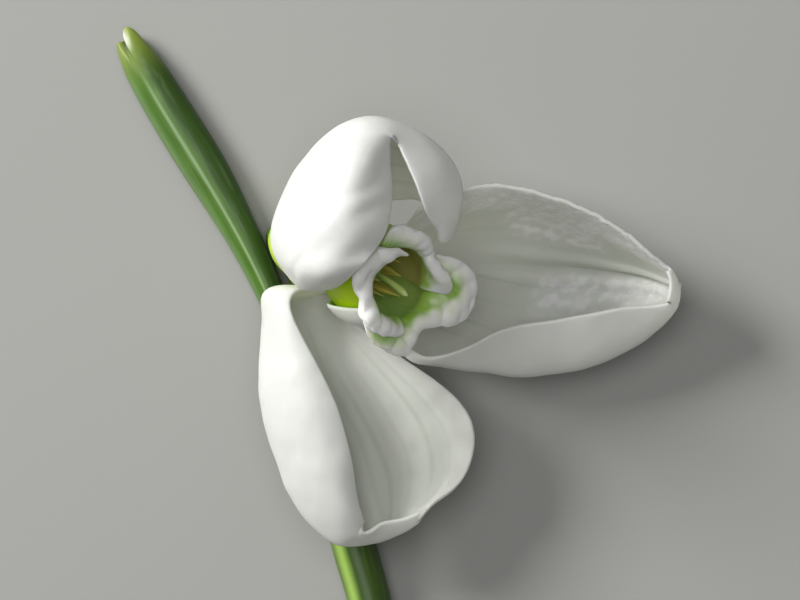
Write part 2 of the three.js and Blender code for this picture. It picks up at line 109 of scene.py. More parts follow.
LOWER_SECTIONS = [
    [[-8.2, 0.8, 9.6], [-9.4, 1.0, 9.0], [-10.6, 0.9, 7.6], [-10.1, 0.3, 6.0], [-8.4, 0.0, 5.4],
     [-6.6, 0.0, 5.5], [-5.2, -0.1, 6.4]],
    [[-9.1, -0.8, 10.8], [-10.4, -1.0, 10.1], [-11.3, -1.3, 7.9], [-10.6, -1.7, 5.8], [-7.8, -2.2, 5.4],
     [-4.7, -2.5, 5.8], [-2.5, -3.0, 6.6]],
    [[-7.0, -5.2, 11.7], [-9.4, -5.2, 11.3], [-11.6, -5.0, 8.6], [-10.5, -5.4, 6.4], [-6.4, -5.9, 6.6],
     [-1.9, -5.6, 7.0], [1.3, -5.6, 7.0]],
    [[-5.1, -9.4, 11.8], [-8.2, -9.9, 11.9], [-11.3, -9.4, 8.8], [-9.6, -10.0, 6.6], [-4.7, -9.8, 6.9],
     [0.3, -9.1, 7.2], [4.9, -8.4, 7.0]],
    [[-4.0, -13.7, 11.3], [-6.9, -14.2, 11.6], [-10.1, -13.7, 8.7], [-8.1, -14.5, 6.7], [-3.2, -13.9, 6.9],
     [1.9, -13.1, 7.2], [6.3, -11.7, 7.2]],
    [[-3.5, -16.8, 10.5], [-5.4, -17.6, 10.6], [-8.2, -17.6, 8.3], [-6.2, -17.9, 6.8], [-2.4, -17.0, 6.8],
     [1.7, -16.3, 7.1], [5.2, -15.2, 7.3]],
    [[-3.2, -18.0, 10.0], [-4.3, -19.1, 9.8], [-6.0, -19.9, 8.3], [-5.1, -19.6, 7.2], [-2.0, -19.0, 7.0],
     [0.6, -18.2, 7.3], [3.0, -17.0, 7.7]],
    [[-3.1, -18.4, 9.8], [-3.8, -19.6, 9.4], [-4.7, -20.4, 8.4], [-3.8, -20.5, 7.9], [-2.1, -20.2, 7.7],
     [-0.2, -19.6, 7.8], [1.6, -18.6, 7.9]],
    [[-3.0, -18.5, 9.7], [-3.1, -19.1, 9.7], [-2.9, -19.4, 9.6], [-2.3, -19.2, 9.5], [-1.6, -18.7, 9.3],
     [-0.1, -18.4, 9.0], [1.7, -17.8, 8.7]],
]

# ---- inner tepals, which make the cup ----

INNER_HALF = 0.21
INNER_RIM_HALF = 0.42  # the rim is fleshy
INNER_MARGIN_HALF = 0.15
INNER_THINNING = 3
INNER_ROUNDING = 0.28  # radius of the rounded margin
LIP_INWARD = 0.26  # how far the lip swells in towards the flower's axis below the rim
LIP_OUTWARD = 0.2  # how far its edge rolls over
# Where on the way up the tepal each of the two lies, and how wide it is.
LIP_FOLD = (0.84, 0.09)
LIP_EDGE = (1, 0.07)
# Height and wavelength of each swell of the cup.
LIP_CRIMP = (0.15, 1.8)
LIP_PUCKER = (0.07, 1.0)
WALL_SWELL = (0.02, 3)
GREEN_EDGE = (0.022, 1.1)  # share of the length, and wavelength, by which the green's edge wanders
THROAT_RADIUS = 3.15
THROAT_HEIGHT = 9.2
LAP_AT_FOOT = 0.05  # share of an overlap at the foot, which grows to the whole of it
LAP_GROWTH = 0.25  # by this share for each millimetre up
# The bearings of both side margins in degrees, how far the wall stands out from the tube at one
# margin, the middle and the other, and the bearing, radius and height of the rim across it.
INNER_TEPALS = {
    "inner_tepal_left": ((-205, -34), (-0.2, 0.1, -0.35), (
        (-198, 4.25, 11.0), (-178, 4.45, 11.0), (-158, 4.9, 11.0), (-139, 5.1, 10.8), (-120, 4.9, 10.3),
        (-101, 5.8, 10.3), (-79, 5.5, 10.8), (-57, 4.4, 11.1), (-38, 2.95, 11.1))),
    "inner_tepal_top": ((-62, 84), (0.5, -0.1, -0.35), (
        (-63, 5.4, 10.6), (-46, 5.75, 10.8), (-27, 5.1, 10.8), (-8, 4.45, 10.8), (10, 3.7, 10.4),
        (26, 3.05, 10.7), (46, 3.3, 11.0), (63, 4.2, 10.9), (79, 5.0, 10.5))),
    "inner_tepal_lower": ((28, 216), (0.5, 0.35, 0.85), (
        (30, 3.9, 10.3), (49, 5.7, 10.4), (72, 7.4, 10.4), (98, 6.95, 10.4), (130, 4.4, 10.2),
        (151, 6.0, 10.4), (171, 5.7, 10.4), (192, 5.45, 10.4), (213, 5.3, 10.4))),
}
# Up the cup: share of the width, radius and height of the tube, then how far the wall has opened
# out and risen from the throat to the rim.
CUP_STEPS = (
    (0.4, 1.5, 0, 0, 0), (0.68, 3.05, 2.4, 0, 0), (0.95, 3.9, 4.9, 0, 0), (1, 3.8, 7.3, 0, 0),
    (1, THROAT_RADIUS, THROAT_HEIGHT, 0, 0), (1, THROAT_RADIUS, THROAT_HEIGHT, 0.45, 0.75),
    (1, THROAT_RADIUS, THROAT_HEIGHT, 1, 1),
)

# ---- ovary, style and stamens ----

OVARY_PROFILE = (
    (0, -7.3), (0.9, -7.2), (1.9, -6.6), (2.8, -5.4), (3.2, -4.0),
    (3.15, -2.8), (2.8, -1.6), (2.35, -0.8), (1.8, -0.35), (0, -0.3),
)
OVARY_SWELL = (0.02, 1.6)  # height and wavelength
STYLE_RADIUS = 0.27
STYLE_SHARES = (0.05, 1, 1, 1, 1, 1, 0.96, 0.94, 0.94, 0.96, 1, 1.08, 1.1, 0.9, 0.1)
STYLE_PATH = ((0, 0, 0), (0, 0, 5), (-0.3, 0, 8.4), (-0.75, 0, 10.9))
STAMENS = 6
STAMEN_FOOT_RADIUS = 0.95
FIRST_STAMEN = 10
FILAMENT_RADIUS = 0.15
FILAMENT_SHARES = (0.4, 1.3, 1.05, 0.9, 0.75, 0.6, 0.2)
FILAMENT_TOP = 1.5
ANTHER_FOOT = 1.75
ANTHER_LENGTHS = (6.4, 5.7, 6.9, 6.8, 6.9, 6.5)
ANTHER_LEAN = 0.65
ANTHER_PROFILE = (
    (0.2, 0), (0.4, 0.1), (0.47, 0.25), (0.46, 0.42), (0.42, 0.62), (0.34, 0.8), (0.16, 0.92), (0.03, 1))
ANTHER_FLATNESS = 0.72

# ---- scape, spathe and pedicel ----

SCAPE_PATH = (
    (-8.3, -6.5), (-5.9, -12.7), (-4.0, -20.5), (-2.6, -25.5),
    (-1.0, -34.0), (0.2, -42.5), (1.1, -50.9), (1.8, -58.6),
)
SCAPE_HALF_WIDTHS = (1.75, 1.85, 1.88, 1.85, 1.8, 1.75, 1.7, 1.65)
SCAPE_HALF_HEIGHTS = (1.6, 1.75, 1.8, 1.78, 1.75, 1.7, 1.65, 1.6)
# The cut end of the scape, from its edge inwards: share of the section, and how far it stands out.
CUT_FACE = (
    (0.97, 0.03), (0.92, 0.02), (0.86, -0.03), (0.78, 0.01),
    (0.7, -0.04), (0.5, -0.1), (0.25, -0.14), (0.02, -0.14),
)
VESSELS = 14
SPATHE_PATH = (
    (-8.4, -6.28), (-10.1, -1.7), (-11.7, 2.1), (-13.6, 5.9),
    (-16.1, 10.4), (-19.0, 15.1), (-21.6, 19.4), (-22.75, 21.4),
)
SPATHE_HALF_WIDTHS = (1.15, 1.15, 1.3, 1.5, 1.85, 1.9, 1.7, 1.25)
SPATHE_HALF_HEIGHTS = (1.1, 1.1, 1.15, 1.2, 1.3, 1.3, 1.25, 0.85)
# The two lobes of the spathe's tip: middle and half width across it, and how far each one reaches.
SPATHE_LOBES = ((0.66, 0.32, 0.75), (-0.3, 0.58, 1.5))
SPATHE_NOTCH = 0.3
PEDICEL_PATH = (
    (-6.3, -5.2, 1.2), (-7.3, -2.7, 1.2), (-8.6, 0.9, 0.9), (-9.9, 3.2, 0.7), (-10.75, 4.6, 0.75),
    (-10.75, 5.7, 1.1),
)
PEDICEL_TOP = -7.8
PEDICEL_RADIUS = 0.5
PEDICEL_SHARES = (0.05, 1.05, 1.02, 1, 1, 1, 1, 1.02, 1.1, 1.2, 0.9, 0.05)


# ==== shaping ====


def spline(points, at):
    """Natural cubic spline through evenly spaced points, read at places from 0 to 1."""
    points = np.asarray(points, float)
    last = len(points) - 1
    system = np.eye(last + 1)
    change = np.zeros(points.shape)
    for i in range(1, last):
        system[i, i - 1:i + 2] = 1, 4, 1
        change[i] = 6 * (points[i + 1] - 2 * points[i] + points[i - 1])
    bend = np.linalg.solve(system, change.reshape(last + 1, -1)).reshape(points.shape)
    place = np.asarray(at, float) * last
    i = np.minimum(place.astype(int), last - 1)
    f = (place - i).reshape((-1,) + (1,) * (points.ndim - 1))
    g = 1 - f
    curved = (g**3 - g) * bend[i] + (f**3 - f) * bend[i + 1]
    return g * points[i] + f * points[i + 1] + curved / 6


def skin(sections, along, across):
    """A smooth skin through cross-sections: points by place along, then place across."""
    lengthways = spline(sections, along)
    return spline(lengthways.transpose(1, 0, 2), across).transpose(1, 0, 2)


def places(count, zone=0.012, fine=5):
    """Places from 0 to 1, evenly spaced but finer within a zone at both ends, where margins are rounded."""
    near = zone * (1 - np.cos(np.linspace(0, math.pi / 2, fine + 1)))[:-1]
    return np.concatenate((near, np.linspace(zone, 1 - zone, count), 1 - near[::-1]))


def round_flower(radius, degrees, height):
    """Points round the flower's axis, from their distance from it, bearing and height."""
    angle = np.radians(np.asarray(degrees, float))[..., None]
    radius = np.asarray(radius, float)[..., None]
    height = np.asarray(height, float)[..., None]
    return RECEPTACLE + height * FACING + radius * (np.cos(angle) * SIDEWAYS + np.sin(angle) * AWAY)


def unit(vectors):
    return vectors / np.maximum(np.linalg.norm(vectors, axis=-1, keepdims=True), 1e-9)


def normals_of(sheet):
    """Unit normals of a grid of points."""
    return unit(np.cross(np.gradient(sheet, axis=0), np.gradient(sheet, axis=1)))


def smooth(low, high, x):
    """0 below low, 1 above high, and a smooth step between."""
    t = np.clip((np.asarray(x, float) - low) / (high - low), 0, 1)
    return t * t * (3 - 2 * t)


def bell(x, middle, width):
    return np.exp(-(((x - middle) / width) ** 2))


def patch(U, V, u0, u1, v0, v1, soft=0.03):
    """1 inside a patch of a petal and 0 outside it, with soft edges."""
    along = smooth(u0 - soft, u0 + soft, U) * (1 - smooth(u1 - soft, u1 + soft, U))
    return along * smooth(v0 - soft, v0 + soft, V) * (1 - smooth(v1 - soft, v1 + soft, V))


def ripple(points, wave, seed, waves=12):
    """A smooth random swell over points, about -1 to 1, with this wavelength in millimetres."""
    rng = np.random.default_rng(seed)
    total = np.zeros(points.shape[:-1])
    for _ in range(waves):
        direction = unit(rng.normal(size=3)) * 2 * math.pi / (wave * rng.uniform(0.75, 1.4))
        total += np.sin(points @ direction + rng.uniform(0, 2 * math.pi))
    return total / math.sqrt(waves)


def swell(points, size, seed, waves=12):
    """A ripple with this height and wavelength in millimetres."""
    height, wave = size
    return height * ripple(points, wave, seed, waves)


def margin_distance(sheet):
    """Distance in millimetres of each grid point from the nearest margin, along the grid."""
    across = np.linalg.norm(np.diff(sheet, axis=1), axis=-1)
    from_left = np.concatenate((np.zeros((len(sheet), 1)), np.cumsum(across, axis=1)), axis=1)
    along = np.linalg.norm(np.diff(sheet, axis=0), axis=-1)
    from_foot = np.concatenate((np.zeros((1, sheet.shape[1])), np.cumsum(along, axis=0)))
    return np.minimum.reduce((
        from_left, from_left[:, -1:] - from_left, from_foot, from_foot[-1:] - from_foot))


def to_row(points):
    return (np.asarray(points, float) - FOOTPRINT_MIDDLE) * MM


# ==== meshes ====


def dress(mesh, marks, grain=None, uv=None):
    """Smooth shading, the colour marks of each point, and the grain or UV map that patterns follow."""
    mesh.polygons.foreach_set("use_smooth", np.ones(len(mesh.polygons), bool))
    layer = mesh.color_attributes.new("marks", "FLOAT_COLOR", "POINT")
    layer.data.foreach_set("color", np.asarray(marks, np.float32).ravel())
    if grain is not None:
        layer = mesh.attributes.new("grain", "FLOAT_VECTOR", "POINT")
        layer.data.foreach_set("vector", np.asarray(grain, np.float32).ravel())
    if uv is not None:
        corners = np.zeros(len(mesh.loops), int)
        mesh.loops.foreach_get("vertex_index", corners)
        layer = mesh.uv_layers.new(name="surface")
        layer.data.foreach_set("uv", np.asarray(uv, np.float32)[corners].ravel())
    mesh.update()


def new_piece(name, points, edges=(), faces=()):
    """An object from points in row metres."""
    mesh = bpy.data.meshes.new(name)
    mesh.from_pydata(np.asarray(points).tolist(), edges, [[int(i) for i in face] for face in faces])
    piece = bpy.data.objects.new(name, mesh)
    bpy.context.scene.collection.objects.link(piece)
    return piece


def signed_volume(points, faces):
    a, b, c, d = (points[faces[:, k]] for k in range(4))
    return np.einsum("ij,ij->i", a, np.cross(b, c) + np.cross(c, d)).sum()


def quads(grid):
    return np.stack((grid[:-1, :-1], grid[1:, :-1], grid[1:, 1:], grid[:-1, 1:]), -1).reshape(-1, 4)


def sheet_piece(name, middle, half, marks, uv):
    """A closed petal: the middle surface thickened on both sides and rounded at every margin.

    marks holds the colours of the side its normals point to, and then those of the other side.
    """
    rows, columns = half.shape
    out = normals_of(middle)
    index = np.arange(rows * columns).reshape(rows, columns)
    other = index.copy()
    inside = np.zeros((rows, columns), bool)
    inside[1:-1, 1:-1] = True
    other[inside] = rows * columns + np.arange(inside.sum())
    points = np.concatenate(((middle + out * half[..., None]).reshape(-1, 3),
                             (middle - out * half[..., None])[inside]))
    colours = np.concatenate((marks[0].reshape(-1, 4), marks[1][inside]))
    faces = np.concatenate((quads(index), quads(other)[:, ::-1]))
    if signed_volume(points, faces) < 0:
        faces = faces[:, ::-1]
    piece = new_piece(name, to_row(points), faces=faces)
    dress(piece.data, colours, uv=np.concatenate((uv.reshape(-1, 2), uv[inside])))
    return piece


def spread_of(sheet):
    """Distance across from the middle column and along from the foot, in millimetres."""
    across = np.linalg.norm(np.diff(sheet, axis=1), axis=-1)
    x = np.concatenate((np.zeros((len(sheet), 1)), np.cumsum(across, axis=1)), axis=1)
    x -= x[:, x.shape[1] // 2][:, None]
    along = np.linalg.norm(np.diff(sheet, axis=0), axis=-1)
    y = np.concatenate((np.zeros((1, sheet.shape[1])), np.cumsum(along, axis=0)))
    return np.stack((x, y), -1)


def rounded(half, distance, radius=0.15):
    """Half thickness that ends in a round margin."""
    t = 1 - np.clip(distance / radius, 0, 1)
    return half * np.sqrt(np.maximum(0, 1 - t * t))


def done(piece, nodes, material):
    piece.data.materials.clear()
    piece.data.materials.append(material)
    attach(piece, "root")
    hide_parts(*nodes)
    return piece


# ==== nodes ====


def linear(colour):
    """An sRGB hex colour as linear red, green, blue and alpha."""
    parts = [int(colour[i:i + 2], 16) / 255 for i in (1, 3, 5)]
    return tuple(c / 12.92 if c <= 0.04045 else ((c + 0.055) / 1.055) ** 2.4 for c in parts) + (1.0,)


def add_node(tree, kind, inputs=None, **settings):
    """A node with its settings, and its inputs each linked to a socket or set to a value or hex colour."""
    node = tree.nodes.new(kind)
    for name, value in settings.items():
        setattr(node, name, value)
    for name, value in (inputs or {}).items():
        if isinstance(value, bpy.types.NodeSocket):
            tree.links.new(value, node.inputs[name])
        elif isinstance(value, str) and value.startswith("#"):
            node.inputs[name].default_value = linear(value)
        else:
            node.inputs[name].default_value = value
    return node


def new_tree(name, inputs):
    """A geometry tree with its named inputs, and the identifier of each of them."""
    tree = bpy.data.node_groups.new(name, "GeometryNodeTree")
    tree.interface.new_socket("Geometry", in_out="INPUT", socket_type="NodeSocketGeometry")
    sockets = {
        label: tree.interface.new_socket(label, in_out="INPUT", socket_type=kind).identifier
        for label, kind in inputs.items()
    }
    tree.interface.new_socket("Geometry", in_out="OUTPUT", socket_type="NodeSocketGeometry")
    return tree, sockets


def grow(piece, tree, sockets, values):
    """Runs a geometry tree on a piece and keeps the plain mesh that comes of it."""
    modifier = piece.modifiers.new(tree.name, "NODES")
    modifier.node_group = tree
    for label, value in values.items():
        modifier[sockets[label]] = value
    bpy.context.view_layer.update()
    made = bpy.data.meshes.new_from_object(piece.evaluated_get(bpy.context.evaluated_depsgraph_get()))
    piece.modifiers.clear()
    piece.data = made


# ==== the two rules: a stalk drawn along its path, and copies set in a ring ====


def stalk_tree():
    """Draws a section along a path, and sizes it by the path's own shares of a half width and height."""
    tree, sockets = new_tree("stalk along a path", {
        "Section": "NodeSocketObject", "Half width": "NodeSocketFloat", "Half height": "NodeSocketFloat",
        "Finish": "NodeSocketMaterial"})
    given = add_node(tree, "NodeGroupInput")
    line = add_node(tree, "GeometryNodeMeshToCurve", {"Mesh": given.outputs["Geometry"]})
    level = add_node(tree, "GeometryNodeSetCurveNormal", {"Curve": line.outputs[0]}, mode="Z_UP")
    here = add_node(tree, "GeometryNodeInputPosition")
    centred = add_node(tree, "GeometryNodeStoreNamedAttribute", {
        "Geometry": level.outputs[0], "Name": "middle", "Value": here.outputs[0]}, data_type="FLOAT_VECTOR")
    outline = add_node(tree, "GeometryNodeObjectInfo", {"Object": given.outputs["Section"]})
    loop = add_node(tree, "GeometryNodeMeshToCurve", {"Mesh": outline.outputs["Geometry"]})
    drawn = add_node(tree, "GeometryNodeCurveToMesh", {
        "Curve": centred.outputs[0], "Profile Curve": loop.outputs[0], "Fill Caps": True})
    middle = add_node(tree, "GeometryNodeInputNamedAttribute", {"Name": "middle"}, data_type="FLOAT_VECTOR")
    wide = add_node(tree, "GeometryNodeInputNamedAttribute", {"Name": "width share"}, data_type="FLOAT")
    tall = add_node(tree, "GeometryNodeInputNamedAttribute", {"Name": "height share"}, data_type="FLOAT")
    width = add_node(tree, "ShaderNodeMath", {
        0: wide.outputs[0], 1: given.outputs["Half width"]}, operation="MULTIPLY")
    height = add_node(tree, "ShaderNodeMath", {
        0: tall.outputs[0], 1: given.outputs["Half height"]}, operation="MULTIPLY")
    size = add_node(tree, "ShaderNodeCombineXYZ", {
        "X": width.outputs[0], "Y": width.outputs[0], "Z": height.outputs[0]})
    offset = add_node(tree, "ShaderNodeVectorMath", {
        0: here.outputs[0], 1: middle.outputs[0]}, operation="SUBTRACT")
    place = add_node(tree, "ShaderNodeVectorMath", {
        0: offset.outputs[0], 1: size.outputs[0], 2: middle.outputs[0]}, operation="MULTIPLY_ADD")
    sized = add_node(tree, "GeometryNodeSetPosition", {
        "Geometry": drawn.outputs[0], "Position": place.outputs[0]})
    real = add_node(tree, "GeometryNodeRealizeInstances", {"Geometry": sized.outputs[0]})
    finished = add_node(tree, "GeometryNodeSetMaterial", {
        "Geometry": real.outputs[0], "Material": given.outputs["Finish"]})
    add_node(tree, "NodeGroupOutput", {"Geometry": finished.outputs[0]})
    return tree, sockets


def ring_tree():
    """Sets a copy of a pattern at each foot, turned round the flower's axis and drawn out to its own
    share of a length."""
    tree, sockets = new_tree("ring of stamens", {
        "Pattern": "NodeSocketObject", "Length": "NodeSocketFloat", "Flower axis": "NodeSocketRotation",
        "Finish": "NodeSocketMaterial"})
    given = add_node(tree, "NodeGroupInput")
    source = add_node(tree, "GeometryNodeObjectInfo", {"Object": given.outputs["Pattern"]})
    turn = add_node(tree, "GeometryNodeInputNamedAttribute", {"Name": "turn"}, data_type="FLOAT")
    share = add_node(tree, "GeometryNodeInputNamedAttribute", {"Name": "length share"}, data_type="FLOAT")
    about = add_node(tree, "FunctionNodeAxisAngleToRotation", {"Axis": (0, 0, 1), "Angle": turn.outputs[0]})
    facing = add_node(tree, "FunctionNodeRotateRotation", {
        "Rotation": about.outputs[0], "Rotate By": given.outputs["Flower axis"]}, rotation_space="GLOBAL")
    reach = add_node(tree, "ShaderNodeMath", {
        0: share.outputs[0], 1: given.outputs["Length"]}, operation="MULTIPLY")
    stretch = add_node(tree, "ShaderNodeCombineXYZ", {"X": 1.0, "Y": 1.0, "Z": reach.outputs[0]})
    placed = add_node(tree, "GeometryNodeInstanceOnPoints", {
        "Points": given.outputs["Geometry"], "Instance": source.outputs["Geometry"],
        "Rotation": facing.outputs[0], "Scale": stretch.outputs[0]})
    real = add_node(tree, "GeometryNodeRealizeInstances", {"Geometry": placed.outputs[0]})
    finished = add_node(tree, "GeometryNodeSetMaterial", {
        "Geometry": real.outputs[0], "Material": given.outputs["Finish"]})
    add_node(tree, "NodeGroupOutput", {"Geometry": finished.outputs[0]})
    return tree, sockets


STALK_TREE = stalk_tree()
RING_TREE = ring_tree()


def drawn_stalk(name, path, widths, heights, finish, sides, section=None):
    """A piece drawn along a path by the stalk tree, with its rings of points in sketch millimetres.

    section is the outline's radius by angle, as a share of the half width."""
    angle = np.linspace(0, 2 * math.pi, sides, endpoint=False)
    radius = np.ones(sides) if section is None else section(angle)
    circle = np.stack((radius * np.cos(angle), radius * np.sin(angle), 0 * angle), -1)
    outline = new_piece("section", circle, [(i, (i + 1) % sides) for i in range(sides)])
    piece = new_piece(name, to_row(path), [(i, i + 1) for i in range(len(path) - 1)])
    for label, sizes in (("width share", widths), ("height share", heights)):
        layer = piece.data.attributes.new(label, "FLOAT", "POINT")
        layer.data.foreach_set("value", np.asarray(sizes, float) / max(widths))
    tree, sockets = STALK_TREE
    grow(piece, tree, sockets, {
        "Section": outline, "Half width": float(max(widths)) * MM, "Half height": float(max(widths)) * MM,
        "Finish": finish})
    bpy.data.objects.remove(outline)
    points = np.zeros(len(piece.data.vertices) * 3)
    piece.data.vertices.foreach_get("co", points)
    return piece, points.reshape(len(path), sides, 3) / MM + FOOTPRINT_MIDDLE


def reshape(piece, rings, marks, grain):
    """Puts the rings of a drawn stalk back in its mesh, facing out, and dresses it."""
    piece.data.vertices.foreach_set("co", to_row(rings).ravel())
    index = np.arange(rings.shape[0] * rings.shape[1]).reshape(rings.shape[:2])
    round_it = quads(np.concatenate((index, index[:, :1]), axis=1))
    first = [int(i) for i in piece.data.polygons[0].vertices]
    mine = next(q for q in round_it if set(q) == set(first))
    turned = first[(first.index(mine[0]) + 1) % 4] != mine[1]
    if (signed_volume(rings.reshape(-1, 3), round_it) < 0) != turned:
        piece.data.flip_normals()
    dress(piece.data, marks, grain=grain)


# ==== materials ====


def new_material(name):
    material = bpy.data.materials.new(name)
    material.use_nodes = True
    tree = material.node_tree
    tree.nodes.clear()
    shader = add_node(tree, "ShaderNodeBsdfPrincipled")
    add_node(tree, "ShaderNodeOutputMaterial", {"Surface": shader.outputs[0]})
    return material, tree, shader


def marked_material(name):
    """A material with its tree and shader, the four colour marks, and the places patterns follow."""
    material, tree, shader = new_material(name)
    marks = add_node(tree, "ShaderNodeAttribute", attribute_name="marks")
    mark = add_node(tree, "ShaderNodeSeparateColor", {"Color": marks.outputs["Color"]})
    where = add_node(tree, "ShaderNodeTexCoord")
    return material, tree, shader, (*mark.outputs[:3], marks.outputs["Alpha"]), where


def per_metre(size_mm):
    """The scale of a pattern on Object coordinates whose features are this size."""
    return 1 / (size_mm * MM)


def petal_tissue():
    # Living petal, a waxy cuticle over air-filled white cells. The eye gets a soft matt white that light
    # shines through, faint veins, and glitter where the surface cells bulge. Inner faces carry a faint
    # green tint with painted shade, and frosted patches a painted glint.
    material, tree, shader, marks, where = marked_material("petal tissue, white")
    inner_tint_and_shade, foot, vein, frost_and_glint = marks
    # The inner faces are painted a greyer green: a faint real tint, and painted shade where a tepal lies in
    # shade.
    tinted = add_node(tree, "ShaderNodeMix", {
        0: inner_tint_and_shade, 6: "#F4F4F0", 7: "#BFC3BA"}, data_type="RGBA")
    greener = add_node(tree, "ShaderNodeMix", {
        0: foot, 6: tinted.outputs[2], 7: "#D3DFA0"}, data_type="RGBA")
    veined = add_node(tree, "ShaderNodeMix", {
        0: vein, 6: greener.outputs[2], 7: "#A0A999"}, data_type="RGBA")
    # Clumps of cells about 1.4 mm wide, some a little greyer than others.
    cells = add_node(tree, "ShaderNodeTexNoise", {
        "Vector": where.outputs["Object"], "Scale": per_metre(1.4), "Detail": 3.0, "Roughness": 0.6})
    mottle = add_node(tree, "ShaderNodeMapRange", {
        "Value": cells.outputs[0], "From Min": 0.4, "From Max": 0.75, "To Min": 0.0, "To Max": 0.16})
    clumped = add_node(tree, "ShaderNodeMix", {
        0: mottle.outputs[0], 6: veined.outputs[2], 7: "#CFD3CA"}, data_type="RGBA")
    # Frosted patches are painted whiter, a painted glint on top of their real gloss and bulging cells.
    painted_glint = add_node(tree, "ShaderNodeMapRange", {
        "Value": frost_and_glint, "From Min": 0.0, "From Max": 1.0, "To Min": 0.0, "To Max": 0.9})
    colour = add_node(tree, "ShaderNodeMix", {
        0: painted_glint.outputs[0], 6: clumped.outputs[2], 7: "#FCFCFA"}, data_type="RGBA")
    tree.links.new(colour.outputs[2], shader.inputs["Base Color"])

    # Surface cells of about 0.05 mm are drawn 0.15 mm apart so that they show, and stand out most
    # where the petal glitters. Fine striations 0.25 mm apart run along the petal.
    papillae = add_node(tree, "ShaderNodeTexVoronoi", {
        "Vector": where.outputs["Object"], "Scale": per_metre(0.15)})
    bulge = add_node(tree, "ShaderNodeMapRange", {
        "Value": frost_and_glint, "From Min": 0.0, "From Max": 1.0, "To Min": 0.1, "To Max": 3.0})
    bulges = add_node(tree, "ShaderNodeMath", {
        0: papillae.outputs["Distance"], 1: bulge.outputs[0]}, operation="MULTIPLY")
    lengthways = add_node(tree, "ShaderNodeMapping", {
        "Vector": where.outputs["UV"], "Scale": (4.0, 0.3, 1.0)})
    striations = add_node(tree, "ShaderNodeTexNoise", {
        "Vector": lengthways.outputs[0], "Scale": 1.0, "Detail": 2.0, "Roughness": 0.5})
    relief = add_node(tree, "ShaderNodeMath", {
        0: striations.outputs[0], 1: 0.35, 2: bulges.outputs[0]}, operation="MULTIPLY_ADD")
    bump = add_node(tree, "ShaderNodeBump", {
        "Height": relief.outputs[0], "Strength": 0.4, "Distance": 0.00006})
    tree.links.new(bump.outputs[0], shader.inputs["Normal"])
    gloss = add_node(tree, "ShaderNodeMapRange", {
        "Value": frost_and_glint, "From Min": 0.0, "From Max": 1.0, "To Min": 0.5, "To Max": 0.16})
    tree.links.new(gloss.outputs[0], shader.inputs["Roughness"])
    shader.inputs["IOR"].default_value = 1.42
    shader.inputs["Subsurface Weight"].default_value = 0.9
    shader.inputs["Subsurface Radius"].default_value = (1.0, 1.0, 0.9)
    shader.inputs["Subsurface Scale"].default_value = 0.0018
    return material


def cup_tissue():
    # The same living tissue, thicker, with green cells along the inside and over one outer wall.
    # The eye gets a fleshy white rim that runs into green.
    material, tree, shader, marks, where = marked_material("cup tissue, white and green")
    lime, green, olive, pale = marks
    tinted = add_node(tree, "ShaderNodeMix", {0: pale, 6: "#FBFBF7", 7: "#DCE6C4"}, data_type="RGBA")
    limed = add_node(tree, "ShaderNodeMix", {0: lime, 6: tinted.outputs[2], 7: "#C6EC1C"}, data_type="RGBA")
    # Green cells run in streaks about 0.5 mm wide along the tepal.
    lengthways = add_node(tree, "ShaderNodeMapping", {
        "Vector": where.outputs["UV"], "Scale": (2.0, 0.3, 1.0)})
    streaks = add_node(tree, "ShaderNodeTexNoise", {
        "Vector": lengthways.outputs[0], "Scale": 1.0, "Detail": 3.0, "Roughness": 0.55})
    flecked = add_node(tree, "ShaderNodeMapRange", {
        "Value": streaks.outputs[0], "From Min": 0.3, "From Max": 0.7, "To Min": 0.78, "To Max": 1.0})
    greens = add_node(tree, "ShaderNodeMath", {
        0: green, 1: flecked.outputs[0]}, operation="MULTIPLY", use_clamp=True)
    greened = add_node(tree, "ShaderNodeMix", {
        0: greens.outputs[0], 6: limed.outputs[2], 7: "#90BE34"}, data_type="RGBA")
    # Olive deep in the cup is a painted glow, the yellow light that the anthers and the lit walls throw
    # into it.
    colour = add_node(tree, "ShaderNodeMix", {
        0: olive, 6: greened.outputs[2], 7: "#C2B468"}, data_type="RGBA")
    tree.links.new(colour.outputs[2], shader.inputs["Base Color"])
    # Surface cells of about 0.05 mm are drawn 0.18 mm apart so that they show.
    cells = add_node(tree, "ShaderNodeTexVoronoi", {
        "Vector": where.outputs["Object"], "Scale": per_metre(0.18)})
    bump = add_node(tree, "ShaderNodeBump", {
        "Height": cells.outputs["Distance"], "Strength": 0.2, "Distance": 0.00005})
    tree.links.new(bump.outputs[0], shader.inputs["Normal"])
    shader.inputs["Roughness"].default_value = 0.42
    shader.inputs["IOR"].default_value = 1.42
    shader.inputs["Subsurface Weight"].default_value = 0.7
    shader.inputs["Subsurface Radius"].default_value = (0.95, 1.0, 0.75)
    shader.inputs["Subsurface Scale"].default_value = 0.0011
    return material


